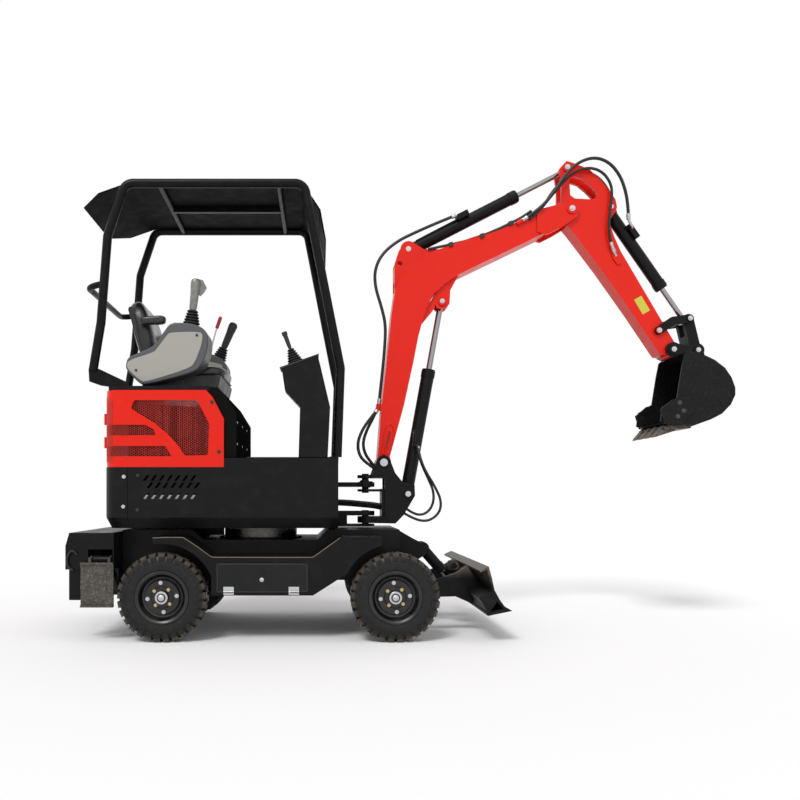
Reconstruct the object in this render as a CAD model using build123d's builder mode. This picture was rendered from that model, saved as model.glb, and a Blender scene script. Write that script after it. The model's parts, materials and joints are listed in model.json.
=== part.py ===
# Small wheeled excavator: four wheels under a slewing upper body with a canopy,
# a swinging boom, an arm and a bucket in front, a dozer blade and folding rear stabilisers.
# Millimetres. X points forward, Y to the machine's left, Z up from the floor.
from build123d import *
import math
import os

os.makedirs("parts", exist_ok=True)

# Wheels and axles
tyre_radius = 232.5
tyre_width = 112.0
tyre_centre_y = 519.0
lug_height = 14.0
lug_count = 24
rim_seat_radius = 127.0
rim_flange_radius = 143.0
rim_thickness = 6.0
hub_radius = 58.0
hub_cap_radius = 36.0
wheel_pin_radius = 26.0
rear_axle_x = -1333.0
wheelbase = 1208.0
axle_beam_half = 42.0
kingpin_y = 425.0
kingpin_radius = 18.0
pin_play = 0.3
moving_gap = 5.0

# Chassis
chassis_half_width = 330.0
chassis_bottom_z = 300.0
chassis_end_top_z = 574.0
chassis_mid_top_z = 519.0
chassis_rear_x = -1590.0
chassis_front_x = rear_axle_x + wheelbase + 45.0
chassis_dip_rear_x = rear_axle_x + 183.0
chassis_dip_front_x = rear_axle_x + wheelbase - 405.0
chassis_dip_run = 60.0
chassis_plate = 14.0
skirt_outer_y = 560.0
skirt_thickness = 8.0
skirt_top_z = 545.0
arch_radius = 278.0
toolbox_rear_x = rear_axle_x + 256.0
toolbox_front_x = rear_axle_x + wheelbase - 426.0
toolbox_bottom_z = 243.0
toolbox_top_z = 447.0
toolbox_wall = 4.0
toolbox_door_margin = 24.0
toolbox_door_height = 150.0
toolbox_door_thickness = 4.0

# Stabilisers
housing_rear_x = -1842.0
housing_length = 277.0
housing_half_width = 528.0
housing_bottom_z = 375.0
housing_knee_z = 498.0
housing_top_z = 566.0
housing_wall = 12.0
leg_centre_x = -1660.0
leg_half_width = 40.0
pad_pin_y = housing_half_width - 23.0
leg_pivot_y = pad_pin_y - 255.0
leg_pivot_z = 240.0
pad_pin_z = 425.0
pad_bottom_z = 181.0
pad_top_z = 413.0
pad_rear_x = -1757.0
pad_front_x = -1587.0
pad_offset = 32.0
pad_plate = 12.0
leg_pin_radius = 14.0

# Blade
blade_half_width = 600.0
blade_pivot_x = chassis_front_x + 100.0
blade_pivot_z = 250.0
blade_arm_y = 250.0
blade_arm_thickness = 20.0
blade_rod_x = blade_pivot_x + 226.0
blade_rod_z = 266.0
blade_cylinder_x = blade_pivot_x + 61.0
blade_cylinder_z = 456.0
blade_barrel_radius = 32.0
blade_barrel_length = 180.0
blade_rod_radius = 15.0
lashing_eye_x = blade_pivot_x + 265.0
lashing_eye_z = 344.0
lashing_eye_radius = 22.0

# Slew ring and house
slew_x = -860.0
slew_ring_radius = 210.0
house_rear_x = -1664.0
house_front_x = -418.0
house_half_width = 470.0
house_bottom_z = 587.0
house_chamfer_z = 644.0
house_top_z = 911.0
house_chamfer = 30.0
house_wall = 8.0
house_floor = 14.0
counterweight_length = 134.0
rear_corner_radius = 90.0
deck_rear_x = -1022.0
deck_top_z = 959.0
cover_top_z = 1318.0
cover_wall = 5.0
cover_lid_height = 24.0
rear_door_gap = 3.0
engine_rear_x = -1490.0
engine_length = 400.0
engine_width = 420.0
engine_height = 480.0

# Swing bracket
swing_x = -250.0
swing_pin_radius = 20.0
swing_boss_radius = 46.0
bracket_inner_y = 80.0
bracket_plate = 20.0

# Boom, arm and bucket pins, in the side view (X, Z)
boom_foot = (-149.0, 950.0)
boom_cylinder_foot = (-10.0, 770.0)
boom_cylinder_head = (192.0, 1885.0)
arm_cylinder_foot = (-3.0, 2188.0)
arm_pin = (935.0, 2412.0)
arm_cylinder_head = (915.0, 2659.0)
bucket_cylinder_foot = (1166.0, 2431.0)
rocker_pin = (1440.0, 1713.0)
bucket_pin = (1521.0, 1603.0)
link_pin = (1617.0, 1782.0)
bucket_link_pin = (1661.0, 1599.0)
big_pin_radius = 20.0
pin_radius = 18.0
boom_half_width = 72.0
boom_wall = 9.0
arm_half_width = 57.0
arm_wall = 8.0
bucket_half_width = 180.0
bucket_wall = 10.0
ear_inner_y = 63.0
ear_plate = 17.0
boom_barrel_radius = 37.5
boom_barrel_length = 739.0
boom_rod_radius = 17.5
arm_barrel_radius = 35.0
arm_barrel_length = 715.0
arm_rod_radius = 15.0
bucket_barrel_length = 562.0
cylinder_eye_half = 30.0
rod_eye_radius = 30.0
hose_radius = 9.0

# Canopy and driver's place
post_y = house_half_width - 70.0
tube_radius = 24.0
canopy_top_z = 2436.0
console_y = post_y - 70.0
seat_half_width = 215.0


def block(x_low, x_high, y_low, y_high, z_low, z_high, mode=Mode.ADD):
    """A box between two corners."""
    with BuildSketch(Plane.XY.offset(z_low)) as foot:
        with Locations(((x_low + x_high) / 2, (y_low + y_high) / 2)):
            Rectangle(x_high - x_low, y_high - y_low)
    extrude(foot.sketch, amount=z_high - z_low, dir=(0, 0, 1), mode=mode)


def slab(points, y_low, y_high, mode=Mode.ADD):
    """A side-view outline (X, Z) extruded from one Y to another."""
    with BuildSketch(Plane.XZ.offset(-y_low)) as side:
        with BuildLine():
            Polyline(*points, close=True)
        make_face()
    extrude(side.sketch, amount=y_high - y_low, dir=(0, 1, 0), mode=mode)


def cross_slab(points, x_low, x_high, mode=Mode.ADD):
    """An outline seen from behind (Y, Z) extruded from one X to another."""
    with BuildSketch(Plane.YZ.offset(x_low)) as end:
        with BuildLine():
            Polyline(*points, close=True)
        make_face()
    extrude(end.sketch, amount=x_high - x_low, dir=(1, 0, 0), mode=mode)


def flat_slab(points, z_low, z_high, mode=Mode.ADD):
    """A plan outline (X, Y) extruded from one Z to another."""
    with BuildSketch(Plane.XY.offset(z_low)) as plan:
        with BuildLine():
            Polyline(*points, close=True)
        make_face()
    extrude(plan.sketch, amount=z_high - z_low, dir=(0, 0, 1), mode=mode)


def boss(centre, radius, y_low, y_high, mode=Mode.ADD):
    """A round boss, pin or hole along Y at a side-view centre (X, Z)."""
    with BuildSketch(Plane.XZ.offset(-y_low)) as side:
        with Locations(centre):
            Circle(radius)
    extrude(side.sketch, amount=y_high - y_low, dir=(0, 1, 0), mode=mode)


def bar(start, end, radius, mode=Mode.ADD):
    """A round bar between two points in space."""
    way = Vector(*end) - Vector(*start)
    with BuildSketch(Plane(origin=start, z_dir=tuple(way))) as section:
        Circle(radius)
    extrude(section.sketch, amount=way.length, dir=tuple(way.normalized()), mode=mode)


def along(start, end, distance):
    """The side-view point at a distance from start towards end."""
    length = math.dist(start, end)
    share = distance / length
    return (start[0] + (end[0] - start[0]) * share, start[1] + (end[1] - start[1]) * share)


def in_plane(point, y=0.0):
    """A side-view point (X, Z) set at a Y."""
    return (point[0], y, point[1])


def shifted(anchor, offsets):
    """Outline points given as offsets from a pin."""
    return [(anchor[0] + dx, anchor[1] + dz) for dx, dz in offsets]


def rounded_block(rear_x, front_x, half_width, corner_radius, z_low, z_high, mode=Mode.ADD):
    """A block across the machine with its two rear corners rounded in plan."""
    with BuildSketch(Plane.XY.offset(z_low)) as plan:
        with BuildLine():
            Polyline((rear_x, -half_width), (front_x, -half_width), (front_x, half_width), (rear_x, half_width),
                     close=True)
        make_face()
        fillet(plan.vertices().group_by(Axis.X)[0], radius=corner_radius)
    extrude(plan.sketch, amount=z_high - z_low, dir=(0, 0, 1), mode=mode)


def soft_slab(points, corner_radius, y_low, y_high, mode=Mode.ADD):
    """A side-view outline (X, Z) with rounded corners, extruded from one Y to another."""
    with BuildSketch(Plane.XZ.offset(-y_low)) as side:
        with BuildLine():
            FilletPolyline(*points, radius=corner_radius, close=True)
        make_face()
    extrude(side.sketch, amount=y_high - y_low, dir=(0, 1, 0), mode=mode)


def save(piece, name):
    piece.part.label = name
    export_step(piece.part, f"parts/{name}.step")


# Wheels: the tyre's crown is two staggered rings of lugs that meet in the middle
front_axle_x = rear_axle_x + wheelbase
axle_z = tyre_radius
tread_radius = tyre_radius - lug_height


def lug_ring(centre_x, y_low, y_high, turn):
    pitch = 2 * math.pi / lug_count
    corners = []
    for index in range(lug_count):
        start = turn + index * pitch
        for share, radius in ((0.0, tread_radius), (0.06, tyre_radius), (0.52, tyre_radius), (0.58, tread_radius)):
            angle = start + share * pitch
            corners.append((centre_x + radius * math.cos(angle), axle_z + radius * math.sin(angle)))
    slab(corners, y_low, y_high)


def make_tyre(name, centre_x, side):
    middle = side * tyre_centre_y
    half = tyre_width / 2
    crown = half - 7.0
    with BuildPart() as tyre:
        lug_ring(centre_x, middle - crown, middle, 0.0)
        lug_ring(centre_x, middle, middle + crown, math.pi / lug_count)
        boss((centre_x, axle_z), tread_radius - 20, middle - half, middle + half, mode=Mode.SUBTRACT)
        with BuildSketch(Plane(origin=(centre_x, middle, axle_z), x_dir=(0, 1, 0), z_dir=(1, 0, 0))):
            with BuildLine():
                Polyline(
                    (-half + 11, rim_seat_radius), (-half, tyre_radius - 62), (-half + 1, tyre_radius - 34),
                    (-crown, tread_radius - 2), (crown, tread_radius - 2), (half - 1, tyre_radius - 34),
                    (half, tyre_radius - 62), (half - 11, rim_seat_radius), close=True,
                )
            make_face()
        revolve(axis=Axis((centre_x, 0, axle_z), (0, 1, 0)))
    save(tyre, name)


def make_rim(name, centre_x, side):
    middle = side * tyre_centre_y
    half = tyre_width / 2
    seat = half - 10.0
    bead = rim_flange_radius
    face = 12.0
    with BuildPart() as rim:
        with BuildSketch(Plane(origin=(centre_x, middle, axle_z), x_dir=(0, side, 0), z_dir=(side, 0, 0))):
            with BuildLine():
                Polyline(
                    (-seat, rim_seat_radius - pin_play), (seat, rim_seat_radius - pin_play), (seat + 4, bead - 6), (seat + 8, bead - 4),
                    (seat + 9, bead - 12), (seat + 4, rim_seat_radius - 6), (face + 10, rim_seat_radius - 22),
                    (face + 6, hub_radius + 34), (face + 20, hub_radius + 30), (face + 20, hub_radius),
                    (face + 24, hub_radius - 4), (face + 24, hub_cap_radius), (face + 44, hub_cap_radius - 4),
                    (face + 44, 0), (face + 8, 0), (face + 8, wheel_pin_radius + pin_play),
                    (-30, wheel_pin_radius + pin_play), (-30, hub_radius - 4), (face, hub_radius),
                    (face, rim_seat_radius - 26), (-seat, rim_seat_radius - 8), close=True,
                )
            make_face()
        revolve(axis=Axis((centre_x, 0, axle_z), (0, 1, 0)))
    save(rim, name)


wheels = (
    ("rear_right", rear_axle_x, -1), ("rear_left", rear_axle_x, 1),
    ("front_right", front_axle_x, -1), ("front_left", front_axle_x, 1),
)
for place, wheel_x, wheel_side in wheels:
    make_tyre(f"tyre_{place}", wheel_x, wheel_side)
    make_rim(f"rim_{place}", wheel_x, wheel_side)

hub_inner_y = tyre_centre_y - 30.0
stub_end_y = tyre_centre_y + 18.0
axle_pad_y = chassis_half_width - 45.0

# Axles
with BuildPart() as rear_axle:
    block(rear_axle_x - axle_beam_half, rear_axle_x + axle_beam_half, -kingpin_y, kingpin_y,
          axle_z - axle_beam_half, axle_z + axle_beam_half)
    for y in (-1, 1):
        bar((rear_axle_x, y * kingpin_y, axle_z), (rear_axle_x, y * (hub_inner_y - 6), axle_z), hub_radius - 6)
        bar((rear_axle_x, y * kingpin_y, axle_z), (rear_axle_x, y * stub_end_y, axle_z), wheel_pin_radius)
        block(rear_axle_x - 70, rear_axle_x + 70, y * axle_pad_y - 45, y * axle_pad_y + 45, axle_z, chassis_bottom_z)
save(rear_axle, "rear_axle")

fork_reach = 56.0
with BuildPart() as front_axle:
    block(front_axle_x - axle_beam_half, front_axle_x + axle_beam_half, -kingpin_y + 62, kingpin_y - 62,
          axle_z - axle_beam_half, axle_z + axle_beam_half)
    for y in (-1, 1):
        block(front_axle_x - 40, front_axle_x + 40, y * axle_pad_y - 45, y * axle_pad_y + 45, axle_z, chassis_bottom_z)
        for z in (axle_z - fork_reach, axle_z + fork_reach - 14):
            block(front_axle_x - 28, front_axle_x + 28, min(y * (kingpin_y - 90), y * kingpin_y),
                  max(y * (kingpin_y - 90), y * kingpin_y), z, z + 14)
            bar((front_axle_x, y * kingpin_y, z), (front_axle_x, y * kingpin_y, z + 14), 28)
        bar((front_axle_x, y * kingpin_y, axle_z - fork_reach), (front_axle_x, y * kingpin_y, axle_z + fork_reach),
            kingpin_radius)
        block(front_axle_x - 28, front_axle_x + 28, min(y * (kingpin_y - 90), y * (kingpin_y - 62)),
              max(y * (kingpin_y - 90), y * (kingpin_y - 62)), axle_z - fork_reach, axle_z + fork_reach)
save(front_axle, "front_axle")


def make_knuckle(name, side):
    kingpin = (front_axle_x, side * kingpin_y)
    with BuildPart() as knuckle:
        half = fork_reach - 14 - 1.0
        bar((*kingpin, axle_z - half), (*kingpin, axle_z + half), 30)
        bar((front_axle_x, side * kingpin_y, axle_z), (front_axle_x, side * (hub_inner_y - 6), axle_z), 36)
        bar((front_axle_x, side * (hub_inner_y - 24), axle_z), (front_axle_x, side * (hub_inner_y - 6), axle_z), 52)
        bar((front_axle_x, side * kingpin_y, axle_z), (front_axle_x, side * stub_end_y, axle_z), wheel_pin_radius)
        bar((*kingpin, axle_z - half), (*kingpin, axle_z + half), kingpin_radius + pin_play, mode=Mode.SUBTRACT)
    save(knuckle, name)


make_knuckle("knuckle_right", -1)
make_knuckle("knuckle_left", 1)

# Chassis: a box of plates, open below, lower under the slew ring, with a nose for the blade
dip = [
    (chassis_rear_x, chassis_end_top_z), (chassis_dip_rear_x - chassis_dip_run, chassis_end_top_z),
    (chassis_dip_rear_x, chassis_mid_top_z), (chassis_dip_front_x, chassis_mid_top_z),
    (chassis_dip_front_x + chassis_dip_run, chassis_end_top_z), (chassis_front_x, chassis_end_top_z),
]
chassis_outline = dip + [(chassis_front_x, chassis_bottom_z), (chassis_rear_x, chassis_bottom_z)]
inner_top = [(x, z - chassis_plate) for x, z in dip]
inner_top[0] = (chassis_rear_x + chassis_plate, inner_top[0][1])
inner_top[-1] = (chassis_front_x - chassis_plate, inner_top[-1][1])
chassis_cavity = inner_top + [
    (chassis_front_x - chassis_plate, chassis_bottom_z - 1), (chassis_rear_x + chassis_plate, chassis_bottom_z - 1),
]
nose_inner_y = 38.0
nose_plate = 16.0
arm_pivot_reach = 40.0
with BuildPart() as chassis:
    slab(chassis_outline, -chassis_half_width, chassis_half_width)
    slab(chassis_cavity, -chassis_half_width + chassis_plate, chassis_half_width - chassis_plate, mode=Mode.SUBTRACT)
    for x in (slew_x - slew_ring_radius, slew_x + slew_ring_radius):
        block(x - 8, x + 8, -chassis_half_width + chassis_plate, chassis_half_width - chassis_plate,
              chassis_bottom_z, chassis_mid_top_z - chassis_plate / 2)
    bar((slew_x, 0, chassis_mid_top_z - chassis_plate), (slew_x, 0, chassis_mid_top_z + 8), slew_ring_radius + 30)
    nose = [
        (chassis_front_x - 2, chassis_end_top_z), (14, 518), (blade_cylinder_x + 34, blade_cylinder_z + 10),
        (blade_cylinder_x + 34, blade_cylinder_z - 24), (chassis_front_x - 2, chassis_bottom_z),
    ]
    for side in (-1, 1):
        low, high = sorted((side * nose_inner_y, side * (nose_inner_y + nose_plate)))
        slab(nose, low, high)
        boss((blade_cylinder_x, blade_cylinder_z), 36, low, high)
        foot_low, foot_high = sorted((side * (blade_arm_y - 14), side * (blade_arm_y - 34)))
        slab([(chassis_front_x - 2, 400), (chassis_front_x + 40, 340), (blade_pivot_x + 28, blade_pivot_z),
              (blade_pivot_x, blade_pivot_z - 28), (chassis_front_x - 2, chassis_bottom_z)], foot_low, foot_high)
        boss((blade_pivot_x, blade_pivot_z), 28, foot_low, foot_high)
        pin_low, pin_high = sorted((side * (blade_arm_y - 34), side * (blade_arm_y + 16)))
        boss((blade_pivot_x, blade_pivot_z), big_pin_radius, pin_low, pin_high)
    boss((blade_cylinder_x, blade_cylinder_z), pin_radius, -nose_inner_y - 1, nose_inner_y + 1)
save(chassis, "chassis_frame")


def make_skirt(name, side):
    """Mudguards over both wheels on one side, joined along the toolbox's top."""
    rear = rear_axle_x
    front = front_axle_x
    rear_end = rear - 47
    front_end = front - 70
    top = [(rear_end, skirt_top_z), (rear + 107, skirt_top_z), (toolbox_rear_x, toolbox_top_z),
           (toolbox_front_x, toolbox_top_z), (front - 272, skirt_top_z), (front_end, skirt_top_z)]
    inner = sorted((side * chassis_half_width, side * skirt_outer_y))
    outer = sorted((side * (skirt_outer_y - skirt_thickness), side * skirt_outer_y))
    face = top + [(front_end, skirt_top_z - 75), (toolbox_front_x, toolbox_bottom_z),
                  (toolbox_rear_x, toolbox_bottom_z), (rear_end, skirt_top_z - 75)]
    with BuildPart() as skirt:
        slab(face, *outer)
        slab(top + [(x, z - skirt_thickness) for x, z in reversed(top)], *inner)
        low, high = sorted((side * (chassis_half_width + 1), side * (skirt_outer_y + 1)))
        for x in (rear, front):
            boss((x, axle_z), arch_radius, low, high, mode=Mode.SUBTRACT)
        slab([(toolbox_rear_x, toolbox_bottom_z), (toolbox_front_x, toolbox_bottom_z),
              (toolbox_front_x, toolbox_top_z - skirt_thickness), (toolbox_rear_x, toolbox_top_z - skirt_thickness)],
             *outer, mode=Mode.SUBTRACT)
    save(skirt, name)


make_skirt("mudguard_right", -1)
make_skirt("mudguard_left", 1)

door_low_x = toolbox_rear_x + toolbox_door_margin
door_high_x = toolbox_front_x - toolbox_door_margin
door_low_z = toolbox_bottom_z + 19.0
door_high_z = door_low_z + toolbox_door_height


def make_toolbox(side):
    suffix = "right" if side < 0 else "left"
    outer = side * skirt_outer_y
    inner = side * chassis_half_width
    roof = toolbox_top_z - skirt_thickness
    with BuildPart() as toolbox:
        block(toolbox_rear_x, toolbox_front_x, min(inner, outer), max(inner, outer), toolbox_bottom_z, roof)
        block(toolbox_rear_x + toolbox_wall, toolbox_front_x - toolbox_wall,
              min(inner, outer) + toolbox_wall, max(inner, outer) - toolbox_wall,
              toolbox_bottom_z + toolbox_wall, roof - toolbox_wall, mode=Mode.SUBTRACT)
        block(door_low_x + 8, door_high_x - 8, min(outer, outer - side * 8), max(outer, outer - side * 8),
              door_low_z + 8, door_high_z - 8, mode=Mode.SUBTRACT)
    save(toolbox, f"toolbox_{suffix}")
    face_low, face_high = sorted((outer + side * 0.5, outer + side * (0.5 + toolbox_door_thickness)))
    hinge_y = outer + side * 6.5
    with BuildPart() as door:
        block(door_low_x, door_high_x, face_low, face_high, door_low_z, door_high_z)
        for x in (door_low_x + 65, door_high_x - 67):
            bar((x - 26, hinge_y, door_low_z), (x + 26, hinge_y, door_low_z), 6)
        lock_x = (door_low_x + door_high_x) / 2
        lock_low, lock_high = sorted((outer + side * 0.5, outer + side * 10))
        block(lock_x - 10, lock_x + 10, lock_low, lock_high, door_high_z - 60, door_high_z - 40)
    save(door, f"toolbox_door_{suffix}")


make_toolbox(-1)
make_toolbox(1)

# Stabiliser housing: a cross channel behind the chassis, with a slot for each leg
slot_low_x = leg_centre_x - leg_half_width - 24
slot_high_x = leg_centre_x + leg_half_width + 24
cheek_gap = 6.0
cheek_plate = 12.0
profile = [
    (housing_rear_x, housing_bottom_z), (housing_rear_x, housing_knee_z), (housing_rear_x + 20, housing_top_z),
    (chassis_rear_x, housing_top_z), (chassis_rear_x, housing_bottom_z),
]
with BuildPart() as stabiliser_housing:
    slab(profile, -housing_half_width, housing_half_width)
    block(housing_rear_x + housing_wall, chassis_rear_x - housing_wall, -housing_half_width + housing_wall,
          housing_half_width - housing_wall, housing_bottom_z - 1, housing_knee_z, mode=Mode.SUBTRACT)
    for side in (-1, 1):
        low, high = sorted((side * (housing_half_width - 60), side * (housing_half_width + 1)))
        block(slot_low_x, slot_high_x, low, high, housing_bottom_z - 1, 480, mode=Mode.SUBTRACT)
        low, high = sorted((side * 180, side * 330))
        cheek_low = leg_centre_x - leg_half_width - cheek_gap - cheek_plate
        cheek_high = leg_centre_x + leg_half_width + cheek_gap
        for x in (cheek_low, cheek_high):
            block(x, x + cheek_plate, low, high, leg_pivot_z - 36, housing_knee_z + 2)
        boss_ends = (cheek_low - 6, cheek_high + cheek_plate)
        bar((boss_ends[0], side * leg_pivot_y, leg_pivot_z), (boss_ends[1], side * leg_pivot_y, leg_pivot_z),
            leg_pin_radius)
    block(housing_rear_x + 30, chassis_rear_x - housing_wall / 2, -180, 180, housing_bottom_z, housing_knee_z + 2)
save(stabiliser_housing, "stabiliser_housing")


def make_leg(side):
    suffix = "right" if side < 0 else "left"
    leg_low_x = leg_centre_x - leg_half_width
    leg_high_x = leg_centre_x + leg_half_width
    root = (side * leg_pivot_y, leg_pivot_z)
    tip = (side * pad_pin_y, pad_pin_z)
    length = math.dist(root, tip)
    across = ((tip[1] - root[1]) / length * 24, -(tip[0] - root[0]) / length * 24)
    with BuildPart() as leg:
        cross_slab([(root[0] + across[0], root[1] + across[1]), (tip[0] + across[0], tip[1] + across[1]),
                    (tip[0] - across[0], tip[1] - across[1]), (root[0] - across[0], root[1] - across[1])],
                   leg_low_x, leg_high_x)
        bar((leg_low_x, *root), (leg_high_x, *root), 30)
        bar((leg_low_x, *tip), (leg_high_x, *tip), 22)
        bar((leg_low_x - 1, *root), (leg_high_x + 1, *root), leg_pin_radius + pin_play, mode=Mode.SUBTRACT)
        bar((leg_low_x - 18, *tip), (leg_high_x + 18, *tip), 10)
    save(leg, f"stabiliser_leg_{suffix}")
    plate_inner = side * (pad_pin_y + pad_offset)
    plate_outer = side * (pad_pin_y + pad_offset + pad_plate)
    with BuildPart() as pad:
        block(pad_rear_x, pad_front_x, min(plate_inner, plate_outer),
              max(plate_inner, plate_outer), pad_bottom_z, pad_top_z)
        flange_low, flange_high = sorted((side * (pad_pin_y - 8), plate_outer))
        for low, high in ((leg_low_x - 16, leg_low_x - 4), (leg_high_x + 4, leg_high_x + 16)):
            block(low, high, flange_low, flange_high, pad_pin_z - 50, pad_pin_z + 14)
            bar((low, *tip), (high, *tip), 20)
            bar((low, *tip), (high, *tip), 10 + pin_play, mode=Mode.SUBTRACT)
        for z in (pad_bottom_z, pad_top_z - 10):
            rib_low, rib_high = sorted((plate_inner, plate_outer + side * 12))
            block(pad_rear_x, pad_front_x, rib_low, rib_high, z, z + 10)
    save(pad, f"stabiliser_pad_{suffix}")


make_leg(-1)
make_leg(1)

# Dozer blade: moldboard, box stiffener and two arms in one weldment
blade_foot = (blade_pivot_x, 0.0)
with BuildPart() as blade:
    slab(shifted(blade_foot, [(330, 397), (346, 338), (359, 276), (387, 225), (413, 190), (451, 169), (325, 143),
                              (318, 160), (405, 180), (376, 214), (347, 268), (334, 334), (322, 383), (286, 366),
                              (283, 376)]), -blade_half_width, blade_half_width)
    slab(shifted(blade_foot, [(278, 238), (357, 276), (372, 214), (326, 152), (305, 200)]),
         -blade_half_width, blade_half_width)
    for side in (-1, 1):
        low, high = sorted((side * (blade_arm_y - blade_arm_thickness / 2),
                            side * (blade_arm_y + blade_arm_thickness / 2)))
        slab(shifted(blade_foot, [(-10, blade_pivot_z - 30), (114, 199), (215, 202), (310, 160), (352, 270),
                                  (281, 372), (217, 330), (114, 298), (-10, blade_pivot_z + 30)]), low, high)
        boss((blade_pivot_x, blade_pivot_z), 34, low, high)
        boss((blade_pivot_x, blade_pivot_z), big_pin_radius + pin_play, low - 1, high + 1, mode=Mode.SUBTRACT)
        low, high = sorted((side * nose_inner_y, side * (nose_inner_y + nose_plate)))
        slab([(blade_rod_x - 30, blade_rod_z - 20), (blade_rod_x + 84, 190), (blade_rod_x + 126, 270),
              (blade_rod_x + 94, 330), (blade_rod_x + 4, blade_rod_z + 30)], low, high)
        boss((blade_rod_x, blade_rod_z), 30, low, high)
        low, high = sorted((side * (nose_inner_y + nose_plate), side * (nose_inner_y + nose_plate + 6)))
        boss((blade_rod_x, blade_rod_z), pin_radius, low, high)
    slab(shifted((lashing_eye_x, lashing_eye_z), [(-38, -26), (30, -26), (60, 8), (48, 28), (20, 22), (0, 38),
                                                  (-38, 28)]), 76, 96)
    boss((lashing_eye_x, lashing_eye_z), lashing_eye_radius, 75, 97, mode=Mode.SUBTRACT)
save(blade, "blade")


def make_cylinder(name, foot, head, barrel_radius, barrel_length, rod_radius, eye_half, rod_eye_half, inside):
    """A hydraulic cylinder: the barrel hinges at its foot pin and its rod slides in it."""
    with BuildPart() as barrel:
        boss(foot, barrel_radius + 1, -eye_half, eye_half)
        bar(in_plane(along(foot, head, barrel_radius * 0.6)), in_plane(along(foot, head, barrel_length)), barrel_radius)
        bar(in_plane(along(foot, head, barrel_length - 46)), in_plane(along(foot, head, barrel_length - 8)),
            barrel_radius + 3)
        boss(foot, pin_radius + pin_play, -eye_half - 1, eye_half + 1, mode=Mode.SUBTRACT)
        bar(in_plane(along(foot, head, pin_radius + 22)), in_plane(along(foot, head, barrel_length + 1)),
            rod_radius + 0.5, mode=Mode.SUBTRACT)
    save(barrel, f"{name}_barrel")
    with BuildPart() as rod:
        bar(in_plane(along(foot, head, barrel_length - inside)), in_plane(head), rod_radius)
        boss(head, rod_eye_radius, -rod_eye_half, rod_eye_half)
    save(rod, f"{name}_rod")


make_cylinder("blade_cylinder", (blade_cylinder_x, blade_cylinder_z), (blade_rod_x, blade_rod_z),
              blade_barrel_radius, blade_barrel_length, blade_rod_radius, 33.0, 32.0, 100.0)

# Slew ring and house
with BuildPart() as slew_ring:
    bar((slew_x, 0, chassis_mid_top_z + 8), (slew_x, 0, house_bottom_z - pin_play), slew_ring_radius)
    bar((slew_x, 0, chassis_mid_top_z + 7), (slew_x, 0, house_bottom_z + 1), slew_ring_radius - 45, mode=Mode.SUBTRACT)
save(slew_ring, "slew_ring")

counterweight_front_x = house_rear_x + counterweight_length


seam = 2.0
with BuildPart() as counterweight:
    rounded_block(house_rear_x, counterweight_front_x - seam, house_half_width, rear_corner_radius,
                  house_bottom_z, house_top_z)
    underside = counterweight.faces().sort_by(Axis.Z)[0]
    chamfer(underside.edges().sort_by(Axis.X)[:-1], length=house_chamfer, length2=house_chamfer_z - house_bottom_z,
            reference=underside)
    block(house_rear_x + 70, counterweight_front_x, -250, 250, house_bottom_z + 60, house_top_z - 6,
          mode=Mode.SUBTRACT)
save(counterweight, "counterweight")

nose_half = 54.0
vent_rear_x = -1452.0
vent_pitch = 41.5
vent_columns = 7
vent_rows = (742.0, 800.0, 838.0)
vent_slot_width = 15.0
vent_slot_height = 30.0
vent_slant = 22.0
with BuildPart() as house:
    block(counterweight_front_x, house_front_x, -house_half_width, house_half_width, house_bottom_z, house_top_z)
    hollow = [(house_half_width - house_wall, house_top_z - house_wall),
              (house_half_width - house_wall, house_chamfer_z + 2),
              (house_half_width - house_chamfer - house_wall / 2, house_bottom_z + house_floor)]
    cross_slab(hollow + [(-y, z) for y, z in reversed(hollow)], counterweight_front_x - 1,
               house_front_x - house_wall, mode=Mode.SUBTRACT)
    for side in (-1, 1):
        edge = side * house_half_width
        cross_slab([(edge, house_bottom_z), (edge, house_chamfer_z), (edge - side * house_chamfer, house_bottom_z)],
                   counterweight_front_x - 1, house_front_x + 1, mode=Mode.SUBTRACT)
    block(deck_rear_x, house_front_x, -house_half_width, house_half_width, house_top_z, deck_top_z)
    block(engine_rear_x - 10, engine_rear_x + engine_length + 10, -engine_width / 2 - 10, engine_width / 2 + 10,
          house_top_z - house_wall - 2, house_top_z + 1, mode=Mode.SUBTRACT)
    for side in (-1, 1):
        low, high = sorted((side * (house_half_width - house_wall - 1), side * (house_half_width + 1)))
        for row, slot_z in enumerate(vent_rows):
            for column in range(vent_columns):
                slot_x = vent_rear_x + (column + 0.5 * (row % 2)) * vent_pitch
                slab([(slot_x, slot_z), (slot_x + vent_slot_width, slot_z),
                      (slot_x + vent_slot_width + vent_slant, slot_z + vent_slot_height),
                      (slot_x + vent_slant, slot_z + vent_slot_height)], low, high, mode=Mode.SUBTRACT)
    for low, high in ((811, 838), (645, 672), (583, 596)):
        block(house_front_x - 20, swing_x, -nose_half, nose_half, low, high)
        bar((swing_x, 0, low), (swing_x, 0, high), nose_half)
    bar((swing_x, 0, 583), (swing_x, 0, 676), swing_pin_radius)
    bar((swing_x, 0, 776), (swing_x, 0, 888), swing_pin_radius)
    block(house_front_x - 20, house_front_x + 60, -nose_half, nose_half, 596, 645)
save(house, "house_frame")

with BuildPart() as engine:
    block(engine_rear_x, engine_rear_x + engine_length, -engine_width / 2, engine_width / 2, house_bottom_z + 14,
          house_bottom_z + 14 + engine_height)
save(engine, "engine_block")

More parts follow.
